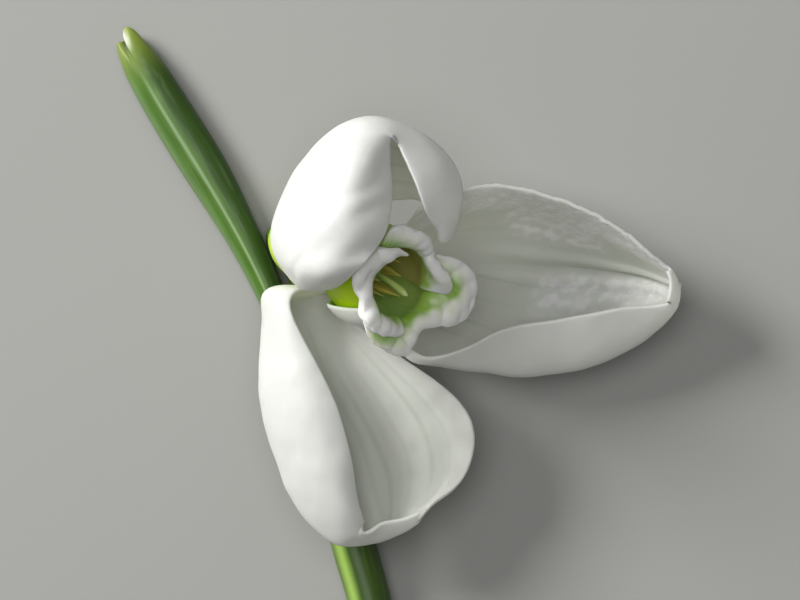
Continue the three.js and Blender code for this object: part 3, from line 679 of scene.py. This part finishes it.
def green_skin(name, colours, rough, fibre_mm, subsurface=0.12):
    """Smooth green plant skin. Its colours are its own, paler, darker, dry or cut, and olive."""
    own, paler, darker, bare, olive = colours
    material, tree, shader, marks, where = marked_material(name)
    light, dark, cut, ripeness = marks
    # The grain holds a place round the stalk and along it in millimetres; fibres are long in it.
    grain = add_node(tree, "ShaderNodeAttribute", attribute_name="grain")
    lengthways = add_node(tree, "ShaderNodeMapping", {
        "Vector": grain.outputs["Vector"], "Scale": (1 / fibre_mm, 1 / fibre_mm, 0.05 / fibre_mm)})
    fibres = add_node(tree, "ShaderNodeTexNoise", {
        "Vector": lengthways.outputs[0], "Scale": 1.0, "Detail": 2.0, "Roughness": 0.5})
    # Soft darker areas about 3.5 mm wide.
    soft = add_node(tree, "ShaderNodeTexNoise", {
        "Vector": where.outputs["Object"], "Scale": per_metre(3.5), "Detail": 2.0})
    shade = add_node(tree, "ShaderNodeMapRange", {
        "Value": soft.outputs[0], "From Min": 0.4, "From Max": 0.7, "To Min": 0.0, "To Max": 0.35})
    mottled = add_node(tree, "ShaderNodeMix", {0: shade.outputs[0], 6: own, 7: darker}, data_type="RGBA")
    # The light and dark marks paint highlight and shade on the scape and spathe.
    lit = add_node(tree, "ShaderNodeMix", {
        0: light, 6: mottled.outputs[2], 7: paler}, data_type="RGBA")
    darkened = add_node(tree, "ShaderNodeMix", {
        0: dark, 6: lit.outputs[2], 7: darker}, data_type="RGBA")
    ripe = add_node(tree, "ShaderNodeMix", {
        0: ripeness, 6: darkened.outputs[2], 7: olive}, data_type="RGBA")
    line = add_node(tree, "ShaderNodeMapRange", {
        "Value": fibres.outputs[0], "From Min": 0.5, "From Max": 0.8, "To Min": 0.0, "To Max": 0.16})
    lined = add_node(tree, "ShaderNodeMix", {
        0: line.outputs[0], 6: ripe.outputs[2], 7: paler}, data_type="RGBA")
    colour = add_node(tree, "ShaderNodeMix", {
        0: cut, 6: lined.outputs[2], 7: bare}, data_type="RGBA")
    tree.links.new(colour.outputs[2], shader.inputs["Base Color"])
    bump = add_node(tree, "ShaderNodeBump", {
        "Height": fibres.outputs[0], "Strength": 0.12, "Distance": 0.00008})
    tree.links.new(bump.outputs[0], shader.inputs["Normal"])
    shader.inputs["Roughness"].default_value = rough
    shader.inputs["IOR"].default_value = 1.45
    shader.inputs["Subsurface Weight"].default_value = subsurface
    shader.inputs["Subsurface Radius"].default_value = (0.5, 1.0, 0.25)
    shader.inputs["Subsurface Scale"].default_value = 0.0009
    return material


def pollen_sac():
    # Anther wall, dry and ochre yellow. The eye gets a matt skin with a fine grain and darker seams.
    material, tree, shader, marks, where = marked_material("anther wall, ochre")
    seam, tip = marks[:2]
    # Pollen grain clumps 0.22 mm wide.
    grain = add_node(tree, "ShaderNodeTexNoise", {
        "Vector": where.outputs["Object"], "Scale": per_metre(0.22), "Detail": 3.0})
    dusty = add_node(tree, "ShaderNodeMapRange", {
        "Value": grain.outputs[0], "From Min": 0.35, "From Max": 0.7, "To Min": 0.0, "To Max": 0.5})
    body = add_node(tree, "ShaderNodeMix", {
        0: dusty.outputs[0], 6: "#F2E474", 7: "#D6C652"}, data_type="RGBA")
    seamed = add_node(tree, "ShaderNodeMix", {
        0: seam, 6: body.outputs[2], 7: "#B0A440"}, data_type="RGBA")
    colour = add_node(tree, "ShaderNodeMix", {
        0: tip, 6: seamed.outputs[2], 7: "#EFE08A"}, data_type="RGBA")
    tree.links.new(colour.outputs[2], shader.inputs["Base Color"])
    bump = add_node(tree, "ShaderNodeBump", {
        "Height": grain.outputs[0], "Strength": 0.4, "Distance": 0.00005})
    tree.links.new(bump.outputs[0], shader.inputs["Normal"])
    shader.inputs["Roughness"].default_value = 0.6
    shader.inputs["Subsurface Weight"].default_value = 0.15
    shader.inputs["Subsurface Radius"].default_value = (1.0, 1.0, 0.4)
    shader.inputs["Subsurface Scale"].default_value = 0.0003
    return material


PETAL = petal_tissue()
CUP = cup_tissue()
# Young ovary wall, turgid and hairless. The eye gets a smooth satin lime green, yellower where it
# is pale, with soft darker green towards the pedicel.
OVARY = green_skin(
    "ovary wall, lime green", ("#C6E44C", "#ECF68E", "#86B42C", "#8FA848", "#98A040"), 0.36, 0.5, 0.3)
# Stalk skin, a waxy cuticle over long fibres. The eye gets a satin mid green with faint lengthways
# lines, and a pale pith where it is cut. On the scape its lit side carries a painted highlight and
# its other side painted shade.
STALK = green_skin(
    "stalk skin, green", ("#4C7020", "#A0C060", "#2A3E14", "#D5DFB2", "#8A9C3C"), 0.36, 0.35)
# Spathe, two leaf keels joined by a thin sheath. The eye gets the stalk's green, bluer and duller,
# with an olive tip lined with a whitish papery skin. Its keel and lit edge carry a painted highlight
# and its far side painted shade.
SPATHE = green_skin(
    "spathe skin, green", ("#4A7020", "#9CB48A", "#2A4415", "#E2E5DA", "#88983C"), 0.44, 0.3)
# Style, a slender waxy column. The eye gets a pale yellow green, duller at its tip.
STYLE = green_skin(
    "style skin, pale green", ("#CDE286", "#DEEBAE", "#A8C45C", "#D8E2A6", "#A0A850"), 0.4, 0.3, 0.3)
# Filament, bare white stalk tissue. The eye gets a moist white with a green cast.
FILAMENT = green_skin(
    "filament skin, white", ("#E4EAD2", "#F0F4E4", "#C4D0A4", "#F0F4E4", "#D8DCA8"), 0.45, 0.3, 0.3)
ANTHER = pollen_sac()


# ==== outer tepals ====


def full_sections(claw, sections):
    """The two arcs of a claw on the ovary, followed by the petal's own cross-sections."""
    turn = math.copysign(1, claw[1] - claw[0])
    count = len(sections[0])
    arcs = [
        round_flower(radius, np.linspace(claw[0] - turn * widen, claw[1] + turn * widen, count), height)
        for radius, height, widen in CLAW_ARCS
    ]
    return np.concatenate((arcs, np.asarray(sections, float)))


def lines_along(U, V, lines):
    """Sum of soft lines along a petal: each is its places across at even steps along, its first and
    last place along, its width as a share of the petal's, and its strength."""
    total = np.zeros(U.shape)
    for path, start, end, width, strength in lines:
        middle = np.interp(U, np.linspace(start, end, len(path)), path)
        shown = smooth(start - 0.06, start + 0.06, U) * (1 - smooth(end - 0.08, end + 0.04, U))
        total += strength * shown * bell(V, middle, width)
    return total


def slanting_swells(points, degrees, spacing, seed):
    """Swells that run across a petal at this bearing in plan, this far apart in millimetres."""
    slope = math.radians(degrees)
    across = points[..., 1] * math.cos(slope) - points[..., 0] * math.sin(slope)
    return np.sin(2 * math.pi * across / spacing + 1.1 * ripple(points, 2 * spacing, seed))


def outer_tepal(
        name, claw, sections, seed, tint_and_shade, veins, ridges, frost_and_glint=(), swells=(), columns=150, rows=230):
    u, v = places(rows), places(columns)
    middle = skin(full_sections(claw, sections), u, v)
    U, V = u[:, None] + 0 * v, v + 0 * u[:, None]
    out = normals_of(middle)
    distance = margin_distance(middle)
    vein = lines_along(U, V, veins)
    glitter = np.zeros(U.shape)
    for zone, strength in frost_and_glint:
        glitter = np.maximum(glitter, strength * patch(U, V, *zone))
    glitter *= 0.35 + 0.65 * smooth(-0.5, 0.7, ripple(middle, FROST_CLUMP, seed + 5, FROST_WAVES))
    relief = swell(middle, PETAL_SWELL, seed) + swell(middle, PETAL_DIMPLE, seed + 1)
    relief += swell(middle, MARGIN_WAVE, seed + 2) * np.exp(-distance / MARGIN_WAVE_REACH)
    relief += lines_along(U, V, ridges) - VEIN_DEPTH * vein
    blisters = swell(middle, FROST_BLISTER, seed + 3, FROST_WAVES)
    relief += glitter * (blisters + swell(middle, FROST_GRAIN, seed + 4, FROST_WAVES))
    for zone, degrees, spacing, depth in swells:
        relief += depth * patch(U, V, *zone, soft=0.1) * slanting_swells(middle, degrees, spacing, seed + 6)
    middle = middle + out * (relief * smooth(0.14, 0.3, U))[..., None]
    inwards = np.sqrt(np.clip(distance / OUTER_THINNING, 0, 1))
    thick = OUTER_MARGIN_HALF + (OUTER_HALF - OUTER_MARGIN_HALF) * inwards
    foot = np.exp(-((U / 0.2) ** 2))
    # The tint paints the inner face a greyer green, a faint real tint and painted shade, lighter near the
    # claw; the outer face gets a little of it too.
    back = np.stack((0.4 * tint_and_shade + 0 * U, 0.35 * foot, 0.2 * vein, 0 * U), -1)
    face = np.stack((tint_and_shade * (0.25 + 0.75 * smooth(0.12, 0.5, U)), 0.55 * foot, vein, glitter), -1)
    # The inner face is the side that looks at the flower's mouth.
    spot = (len(u) // 3, len(v) // 2)
    normals_at_face = normals_of(middle)[spot] @ (MOUTH - middle[spot]) > 0
    marks = (face, back) if normals_at_face else (back, face)
    piece = sheet_piece(name, middle, rounded(thick, distance), marks, spread_of(middle))
    return done(piece, [name], PETAL)


# Veins and ridges of each outer tepal: places across, first and last place along, width, strength.
RIGHT_VEINS = [
    ((0.36, 0.416, 0.463), 0.2, 0.54, 0.005, 0.42), ((0.5, 0.556, 0.616), 0.2, 0.44, 0.005, 0.42),
    ((0.55, 0.6, 0.66), 0.2, 0.4, 0.005, 0.42), ((0.45, 0.49, 0.53), 0.2, 0.48, 0.005, 0.18),
    ((0.2, 0.22, 0.24), 0.2, 0.5, 0.008, 0.12),
]
RIGHT_RIDGES = [
    ((0.33, 0.325, 0.31), 0.42, 0.9, 0.024, -0.3), ((0.38, 0.375, 0.38), 0.42, 0.92, 0.024, 0.28),
    ((0.41, 0.43, 0.46), 0.42, 0.8, 0.028, -0.22),
]
# Frosted patches of the right tepal: glossier, with bulging cells and a painted glint in their colour.
RIGHT_FROST_AND_GLINT = [
    ((0.46, 0.64, 0.09, 0.25), 0.9), ((0.5, 0.84, 0.42, 0.56), 1.0), ((0.3, 0.88, -0.05, 0.12), 1.0),
]
LOWER_VEINS = [
    ((0.66, 0.68, 0.69), 0.3, 0.8, 0.008, 0.2), ((0.7, 0.733, 0.735), 0.4, 0.9, 0.009, 0.4),
    ((0.76, 0.79, 0.795), 0.4, 0.75, 0.007, 0.2), ((0.82, 0.857, 0.86), 0.35, 0.7, 0.009, 0.35),
    ((0.88, 0.915, 0.92), 0.4, 0.7, 0.008, 0.2),
]
LOWER_RIDGES = [
    ((0.7, 0.735, 0.735), 0.35, 0.92, 0.02, 0.04), ((0.73, 0.765, 0.77), 0.35, 0.9, 0.018, -0.03),
    ((0.82, 0.857, 0.86), 0.35, 0.85, 0.02, 0.05), ((0.66, 0.69, 0.7), 0.35, 0.9, 0.018, -0.05),
    ((0.88, 0.905, 0.91), 0.35, 0.8, 0.018, -0.04),
]
TOP_VEINS = [((v, v), 0.15, 0.95, 0.01, 0.15) for v in (0.4, 0.5, 0.6, 0.7, 0.8, 0.9)]
TOP_SWELLS = [((0.2, 0.66, 0.02, 0.36), 36, 2.6, 0.07)]

# The right and lower tepals lie in shade, so their faces get much more painted shade than the top one.
outer_tepal("outer_tepal_top", TOP_CLAW, TOP_SECTIONS, 3, 0.12, TOP_VEINS, [], swells=TOP_SWELLS)
outer_tepal(
    "outer_tepal_right", RIGHT_CLAW, RIGHT_SECTIONS, 14, 0.8, RIGHT_VEINS, RIGHT_RIDGES, RIGHT_FROST_AND_GLINT)
outer_tepal("outer_tepal_lower", LOWER_CLAW, LOWER_SECTIONS, 27, 0.8, LOWER_VEINS, LOWER_RIDGES)


# ==== inner tepals ====


def cup_sections(bearings, stands, rim):
    """The cross-sections of an inner tepal up the cup, from its foot to its rim."""
    start, end = bearings
    low, centre, high = stands
    share = np.linspace(-1, 1, len(rim))
    rim_bearing, rim_radius, rim_height = np.array(rim).T
    stand_out = centre + share * (high - low) / 2 + share**2 * ((high + low) / 2 - centre)
    sections = []
    for width, radius, height, opened, risen in CUP_STEPS:
        wall = radius + stand_out * min(1, LAP_AT_FOOT + LAP_GROWTH * height)
        bearing = (start + end) / 2 + share * width * (end - start) / 2
        sections.append(round_flower(
            wall + (rim_radius - wall) * opened,
            bearing + (rim_bearing - bearing) * opened,
            height + (rim_height - height) * risen))
    return np.array(sections)


# Where the colour of each inner tepal lies: how far up the green of its inner face reaches at even
# steps across, how strong its olive is across (a painted yellow glow of the light that the anthers
# and the lit walls throw deep into the cup), and how lime its outer wall is.
CUP_COLOURS = {
    "inner_tepal_left": ((0.78, 0.79, 0.77, 0.73, 0.7, 0.7, 0.7), (0, 0.1, 0.2, 0.4, 0.9, 1, 1), 1.0),
    "inner_tepal_top": ((0.74, 0.75, 0.74, 0.73, 0.74, 0.73, 0.7), (0.4, 0.5, 0.8, 1, 1, 1, 0.9), 0.8),
    "inner_tepal_lower": ((0.66, 0.7, 0.76, 0.77, 0.75, 0.76, 0.74), (0.6, 0.5, 0.25, 0.05, 0, 0, 0), 0.0),
}
# Green also shows in the groove where a tepal lies behind a neighbour's rim: the neighbour, and the
# first and last place across that rim.
CUP_GROOVES = {
    "inner_tepal_left": (),
    "inner_tepal_top": (("inner_tepal_left", 0.72, 0.98),),
    "inner_tepal_lower": (("inner_tepal_top", 0.72, 0.97), ("inner_tepal_left", 0.03, 0.2)),
}
GROOVE_WIDTH = 0.85
GROOVE_STRENGTH = 1.7
CORNER_DROP = 0.06  # share of a tepal's length by which its rim falls away at its two corners


def beside(points, line, width):
    """1 on a line through space and 0 far from it: a bell of this width in millimetres."""
    nearest = np.full(points.shape[:-1], np.inf)
    for p in line:
        nearest = np.minimum(nearest, ((points - p) ** 2).sum(-1))
    return np.exp(-nearest / width**2)


def inner_tepal(name, shape, seed, columns=130, rows=150):
    u, v = places(rows), places(columns)
    # The rim is rounded off towards each side margin.
    length = 1 - CORNER_DROP * smooth(0.8, 1, np.abs(2 * v - 1)) ** 2
    sections = cup_sections(*shape)
    middle = np.stack([skin(sections, u * share, v[[i]])[:, 0] for i, share in enumerate(length)], 1)
    U, V = u[:, None] + 0 * v, v + 0 * u[:, None]
    from_axis = middle - RECEPTACLE
    from_axis = from_axis - (from_axis @ FACING)[..., None] * FACING
    out = normals_of(middle)
    outward = np.sign((out * from_axis).sum())
    out = out * outward
    distance = margin_distance(middle)
    clear = smooth(0.03, 0.2, V) * (1 - smooth(0.8, 0.97, V))  # 0 where a neighbour lies close
    rim = smooth(0.66, 0.9, U)
    # The lip swells inwards and rolls over, and its edge is slightly crimped.
    relief = -LIP_INWARD * bell(U, *LIP_FOLD) * clear + LIP_OUTWARD * bell(U, *LIP_EDGE) * clear
    relief += rim * (swell(middle, LIP_CRIMP, seed) + swell(middle, LIP_PUCKER, seed + 2)) * clear
    relief += swell(middle, WALL_SWELL, seed + 1)
    middle = middle + out * relief[..., None]
    inwards = np.sqrt(np.clip(distance / INNER_THINNING, 0, 1))
    thick = INNER_MARGIN_HALF + (INNER_HALF - INNER_MARGIN_HALF) * inwards
    thick = thick + (INNER_RIM_HALF - thick) * rim * clear
    reach, painted_glow_across, lime = CUP_COLOURS[name]
    across = np.linspace(0, 1, len(reach))
    top_of_green = np.interp(V, across, reach) + swell(middle, GREEN_EDGE, seed + 3)
    green = 1 - smooth(-0.06, 0.07, U - top_of_green)
    for neighbour, start, end in CUP_GROOVES[name]:
        neighbour_sections = cup_sections(*INNER_TEPALS[neighbour])
        edge = skin(neighbour_sections, np.array([0.98]), np.linspace(start, end, 60))[0]
        groove = GROOVE_STRENGTH * beside(middle, edge, GROOVE_WIDTH)
        green = np.maximum(green, np.minimum(1, groove))
    green *= 1 - 0.15 * (1 - smooth(0.5, 0.7, U))  # the green is a little thinner down in the cup
    # A painted yellow glow below the green, where the anthers and the lit walls throw light into the cup.
    olive = np.interp(V, across, painted_glow_across) * (1 - smooth(-0.14, -0.01, U - top_of_green))
    pale = 0.7 * (1 - smooth(0, 0.12, U - top_of_green))
    wall = lime * (1 - smooth(0.84, 0.93, U))
    back = np.stack((wall, 0.35 * wall * smooth(0.6, 0.84, U), 0 * U, 0.25 * (1 - rim)), -1)
    face = np.stack((0 * U, green, 0.8 * olive, pale), -1)
    marks = (back, face) if outward > 0 else (face, back)
    piece = sheet_piece(name, middle, rounded(thick, distance, INNER_ROUNDING), marks, spread_of(middle))
    return done(piece, [name], CUP)


for order, (name, shape) in enumerate(INNER_TEPALS.items()):
    inner_tepal(name, shape, seed=50 + 7 * order)


# ==== ovary and style ====


def along_axis(heights):
    return RECEPTACLE + np.asarray(heights)[:, None] * FACING


def ovary(rings=90, sides=96):
    place = np.linspace(0, 1, rings)
    profile = spline(OVARY_PROFILE, place)
    radii = np.maximum(profile[:, 0], 0.03)

    def six_ribs(angle):
        return 1 + 0.014 * np.cos(6 * angle) + 0.006 * np.cos(3 * angle + 1)

    piece, points = drawn_stalk("ovary", along_axis(profile[:, 1]), radii, radii, OVARY, sides, six_ribs)
    angle = np.linspace(0, 2 * math.pi, sides, endpoint=False)[None]
    out = unit(points - points.mean(axis=(0, 1)))
    points = points + swell(points, OVARY_SWELL, 8)[..., None] * out
    pale = smooth(0.35, 0.75, place)[:, None] * (0.6 + 0.4 * np.cos(6 * angle))
    dark = 1 - smooth(0.05, 0.35, place)[:, None] + 0 * angle
    marks = np.stack((0.8 * pale, 0.7 * dark, 0 * pale, 0 * pale), -1)
    reshape(piece, points, marks, points)
    return done(piece, ["ovary"], OVARY)


def spaced(shares, rings):
    """Values given at even steps, read at this many rings."""
    return np.interp(np.linspace(0, 1, rings), np.linspace(0, 1, len(shares)), shares)


def style(rings=120, sides=24):
    knots = [RECEPTACLE + s * SIDEWAYS + a * AWAY + h * FACING for s, a, h in STYLE_PATH]
    place = np.linspace(0, 1, rings)
    radii = STYLE_RADIUS * spaced(STYLE_SHARES, rings)
    piece, points = drawn_stalk("style", spline(knots, place), radii, radii, STYLE, sides)
    tip = smooth(0.85, 0.98, place)[:, None] + np.zeros(sides)
    reshape(piece, points, np.stack((0 * tip, 0 * tip, 0.9 * tip, 0 * tip), -1), points)
    return done(piece, ["style"], STYLE)


# ==== stamens ====


def pattern(name, rings, marks):
    """A tube round the flower's axis in millimetres, closed by one flat face at each end."""
    count, sides = rings.shape[:2]
    index = np.arange(count * sides).reshape(count, sides)
    round_it = quads(np.concatenate((index, index[:, :1]), axis=1))
    faces = round_it.tolist() + [index[0].tolist(), index[-1, ::-1].tolist()]
    if signed_volume(rings.reshape(-1, 3), round_it) < 0:
        faces = [face[::-1] for face in faces]
    piece = new_piece(name, rings.reshape(-1, 3) * MM, faces=faces)
    dress(piece.data, marks, grain=rings)
    return piece


def stamen_ring(name, piece, feet, bearings, lengths, finish):
    ring = new_piece(name, to_row(feet))
    # AWAY, SIDEWAYS and FACING are right-handed in this order, so a bearing is turned back from AWAY.
    shares = np.asarray(lengths) / max(lengths)
    for label, values in (("turn", math.pi / 2 - bearings), ("length share", shares)):
        layer = ring.data.attributes.new(label, "FLOAT", "POINT")
        layer.data.foreach_set("value", values)
    tree, sockets = RING_TREE
    grow(ring, tree, sockets, {
        "Pattern": piece, "Length": float(max(lengths)),
        "Flower axis": Matrix((AWAY, SIDEWAYS, FACING)).transposed().to_euler(), "Finish": finish})
    bpy.data.objects.remove(piece)
    return ring


def anther_pattern(rings=70, sides=32):
    """An anther a millimetre long, with two pollen sacs side by side and a seam between them."""
    place = np.linspace(0, 1, rings)
    profile = np.maximum(spline(ANTHER_PROFILE, place), 0.012)[:, :1]
    angle = np.linspace(0, 2 * math.pi, sides, endpoint=False)
    sacs = 1 - 0.1 * np.abs(np.cos(angle)) ** 3
    x = profile * ANTHER_FLATNESS * np.cos(angle) * sacs
    y = profile * np.sin(angle) * sacs
    z = place[:, None] + 0 * angle
    tip = smooth(0.86, 0.98, z)
    seam = 0.5 * bell(np.abs(np.cos(angle)), 1, 0.12) * (1 - tip)
    return pattern("anther pattern", np.stack((x, y, z), -1), np.stack((seam, tip, 0 * z, 0 * z), -1))


def filament_pattern(rings=30, sides=16):
    """A filament a millimetre high, bowed out to where its anther stands."""
    place = np.linspace(0, 1, rings)[:, None]
    angle = np.linspace(0, 2 * math.pi, sides, endpoint=False)
    radius = FILAMENT_RADIUS * spaced(FILAMENT_SHARES, rings)[:, None]
    bow = ANTHER_LEAN * place**2
    points = np.stack((bow + radius * np.cos(angle), radius * np.sin(angle), place + 0 * angle), -1)
    return pattern("filament pattern", points, np.zeros((rings, sides, 4)))


def stamens():
    bearings = np.radians(360 / STAMENS * np.arange(STAMENS) + FIRST_STAMEN)
    outward = np.cos(bearings)[:, None] * SIDEWAYS + np.sin(bearings)[:, None] * AWAY
    feet = RECEPTACLE + outward * (STAMEN_FOOT_RADIUS + ANTHER_LEAN) + ANTHER_FOOT * FACING
    anthers = stamen_ring("anthers", anther_pattern(), feet, bearings, ANTHER_LENGTHS, ANTHER)
    done(anthers, [f"anther_{i + 1}" for i in range(STAMENS)], ANTHER)
    feet = RECEPTACLE + outward * STAMEN_FOOT_RADIUS
    lengths = [FILAMENT_TOP] * STAMENS
    filaments = stamen_ring("filaments", filament_pattern(), feet, bearings, lengths, FILAMENT)
    done(filaments, [f"filament_{i + 1}" for i in range(STAMENS)], FILAMENT)


ovary()
style()
stamens()


# ==== scape, spathe and pedicel ====


def lying_path(path, half_widths, half_heights, rings):
    """The middle line of a stalk that lies on the surface, with its headings and half sizes."""
    place = places(rings, 0.006, 6)
    line = [(x, y, z) for (x, y), z in zip(path, half_heights)]
    middle = spline(line, place)
    heading = np.gradient(middle, place, axis=0)
    heading[:, 2] = 0
    ends = rounded(1, np.minimum(place, 1 - place), 0.004)
    ends = np.maximum(ends, 0.02)
    widths, heights = spline(half_widths, place) * ends, spline(half_heights, place) * ends
    return place, middle, unit(heading), widths, heights


def across_and_up(points, middle, heading):
    """Where each point of the rings stands to the left of its middle and above it, in half widths."""
    offset = points - middle[:, None]
    left = np.stack((-heading[:, 1], heading[:, 0], 0 * heading[:, 0]), -1)
    x = (offset * left[:, None]).sum(-1)
    z = offset[..., 2]
    return x / np.abs(x).max(axis=1, keepdims=True), z / np.abs(z).max(axis=1, keepdims=True)


def grain_of(points, middle):
    """Place round a stalk and along it in millimetres."""
    run = np.concatenate(([0], np.cumsum(np.linalg.norm(np.diff(middle, axis=0), axis=-1))))
    x, y, z = np.moveaxis(points - middle[:, None], -1, 0)
    return np.stack((x, y + z, run[:, None] + 0 * x), -1)


def scape(rings=240, sides=112):
    def low_ribs(angle):
        ribs = 0.03 * bell(angle, math.radians(52), 0.25) - 0.025 * bell(angle, math.radians(85), 0.28)
        return 1 + ribs + 0.015 * bell(angle, math.radians(130), 0.25)

    place, middle, heading, widths, heights = lying_path(
        SCAPE_PATH, SCAPE_HALF_WIDTHS, SCAPE_HALF_HEIGHTS, rings)
    cut_half = place > 0.5  # it keeps its full section right up to the cut
    widths[cut_half] = spline(SCAPE_HALF_WIDTHS, place[cut_half])
    heights[cut_half] = spline(SCAPE_HALF_HEIGHTS, place[cut_half])
    shares, rises = np.array(CUT_FACE).T
    on = np.arange(1, len(shares) + 1)[:, None] * 0.002
    middle = np.concatenate((middle, middle[-1] + on * heading[-1]))
    heading = np.concatenate((heading, np.repeat(heading[-1:], len(shares), 0)))
    widths = np.concatenate((widths, widths[-1] * shares))
    heights = np.concatenate((heights, heights[-1] * shares))
    piece, points = drawn_stalk("scape", middle, widths, heights, STALK, sides, low_ribs)
    x, z = across_and_up(points, middle, heading)
    # The cut end has a thin rim, a ring of vessels and a slightly sunken pith.
    angle = np.linspace(0, 2 * math.pi, sides, endpoint=False)
    vessels = 0.03 * np.cos(VESSELS * angle) * bell(shares, 0.78, 0.08)[:, None]
    points[-len(shares):] += (rises[:, None] + vessels)[..., None] * heading[-1]
    bare = np.concatenate((0 * place, np.linspace(0.5, 1, len(shares))))[:, None] + 0 * x
    # Painted highlight down the side the key light falls on, a faint one on the other side, and painted
    # shade from the middle across the far side, all on the upper half.
    top = z > -0.2
    light = 0.85 * bell(x, -0.66, 0.22) * top + 0.15 * bell(x, 0.66, 0.28) * top
    dark = 0.75 * smooth(-0.5, -0.25, x) * top
    marks = np.stack((light, dark * (1 - bare), bare, 0 * light), -1)
    reshape(piece, points, marks, grain_of(points, middle))
    return done(piece, ["scape"], STALK)


def spathe(rings=220, sides=112):
    def two_keels(angle):
        return 1 + 0.03 * bell(angle, math.radians(104), 0.2) - 0.03 * bell(angle, math.radians(72), 0.25)

    place, middle, heading, widths, heights = lying_path(
        SPATHE_PATH, SPATHE_HALF_WIDTHS, SPATHE_HALF_HEIGHTS, rings)
    piece, points = drawn_stalk("spathe", middle, widths, heights, SPATHE, sides, two_keels)
    x, z = across_and_up(points, middle, heading)
    grown = smooth(0.75, 1, place)[:, None]
    reach = np.zeros(x.shape)
    for lobe, half, length in SPATHE_LOBES:
        inside = np.clip(1 - ((x - lobe) / half) ** 2, 0, 1)
        reach = np.maximum(reach, length * np.sqrt(inside))
    points = points + (reach * grown)[..., None] * heading[:, None]
    # A fold runs down from the notch, and the longer lobe is hollow inside its edge.
    fold = 0.42 * smooth(0.9, 1, place)[:, None] * bell(x, SPATHE_NOTCH, 0.24) * np.clip(z, 0, 1)
    hollow = 0.2 * smooth(0.92, 1, place)[:, None] * bell(x, -0.1, 0.3) * np.clip(z, 0, 1)
    points[..., 2] -= fold + hollow
    # Painted highlight along the keel and down the lit edge, and painted shade over the far side.
    light = 0.7 * bell(x, 0.24, 0.075) * (1 - smooth(0.75, 0.9, place))[:, None] * (z > 0)
    light = light + 0.3 * smooth(0.5, 0.97, x)
    dark = 0.8 * (1 - smooth(-0.2, 0.1, x))
    lining = smooth(0.9, 0.96, place)[:, None] * bell(x, 0.12, 0.2) * (z > 0)
    # Painted shade in the crease that runs down from the notch.
    painted_crease_shade = smooth(0.88, 0.95, place)[:, None] * bell(x, 0.26, 0.045) * (z > 0)
    ripe = 0.8 * smooth(0.8, 0.97, place)[:, None] + 0 * x
    marks = np.stack((
        np.clip(light, 0, 1), np.clip(dark * (1 - ripe) + painted_crease_shade, 0, 1), np.clip(lining - painted_crease_shade, 0, 1),
        ripe * (1 - painted_crease_shade)), -1)
    reshape(piece, points, marks, grain_of(points, middle))
    return done(piece, ["spathe"], SPATHE)


def pedicel(rings=140, sides=32):
    knots = [*PEDICEL_PATH, tuple(RECEPTACLE + PEDICEL_TOP * FACING)]
    place = np.linspace(0, 1, rings)
    middle = spline(knots, place)
    radii = PEDICEL_RADIUS * spaced(PEDICEL_SHARES, rings)
    piece, points = drawn_stalk("pedicel", middle, radii, radii, STALK, sides)
    marks = np.zeros((rings, sides, 4))
    marks[..., 1] = 0.3
    reshape(piece, points, marks, grain_of(points, middle))
    return done(piece, ["pedicel"], STALK)


scape()
spathe()
pedicel()


# ==== floor, light and camera ====


FLOOR_HALF = 3.0


def floor():
    corners = [(x * FLOOR_HALF, y * FLOOR_HALF, 0) for x, y in ((-1, -1), (1, -1), (1, 1), (-1, 1))]
    plane = new_piece("floor", corners, faces=[(0, 1, 2, 3)])
    # Matt studio paper, pale grey. The eye gets a plain even ground.
    material, _, shader = new_material("studio paper, pale grey")
    shader.inputs["Base Color"].default_value = linear("#A2A2A1")
    shader.inputs["Roughness"].default_value = 0.9
    plane.data.materials.append(material)


def soft_light(name, place, target, size, watts, colour):
    light = bpy.data.lights.new(name, "AREA")
    light.shape = "DISK"
    light.size = size
    light.energy = watts
    light.color = linear(colour)[:3]
    lamp = bpy.data.objects.new(name, light)
    lamp.location = place
    lamp.rotation_euler = (Vector(target) - Vector(place)).to_track_quat("-Z", "Y").to_euler()
    bpy.context.scene.collection.objects.link(lamp)


floor()
FLOWER = (0.0, 0.016, 0.008)
soft_light("key light", (-0.42, 0.26, 0.31), FLOWER, size=0.24, watts=3.7, colour="#FFFEFA")
soft_light("fill light", (-0.08, 0.12, 0.9), FLOWER, size=0.6, watts=2.8, colour="#FFFFFC")
world = bpy.data.worlds.new("studio")
world.use_nodes = True
world.node_tree.nodes["Background"].inputs[0].default_value = linear("#CECFCA")
world.node_tree.nodes["Background"].inputs[1].default_value = 0.24
bpy.context.scene.world = world
bpy.context.scene.view_settings.view_transform = "Standard"

CAMERA_HEIGHT = 0.608
VIEW_WIDTH = 0.06723  # width seen at the middle of the flower's height
MIDDLE_HEIGHT = 0.008
SENSOR_WIDTH = 36
camera_data = bpy.data.cameras.new("camera")
camera_data.sensor_width = SENSOR_WIDTH
camera_data.lens = SENSOR_WIDTH * (CAMERA_HEIGHT - MIDDLE_HEIGHT) / VIEW_WIDTH
camera_data.clip_start = 0.01
camera = bpy.data.objects.new("camera", camera_data)
camera.location = (*(-FOOTPRINT_MIDDLE[:2] * MM), CAMERA_HEIGHT)
bpy.context.scene.collection.objects.link(camera)
bpy.context.scene.camera = camera
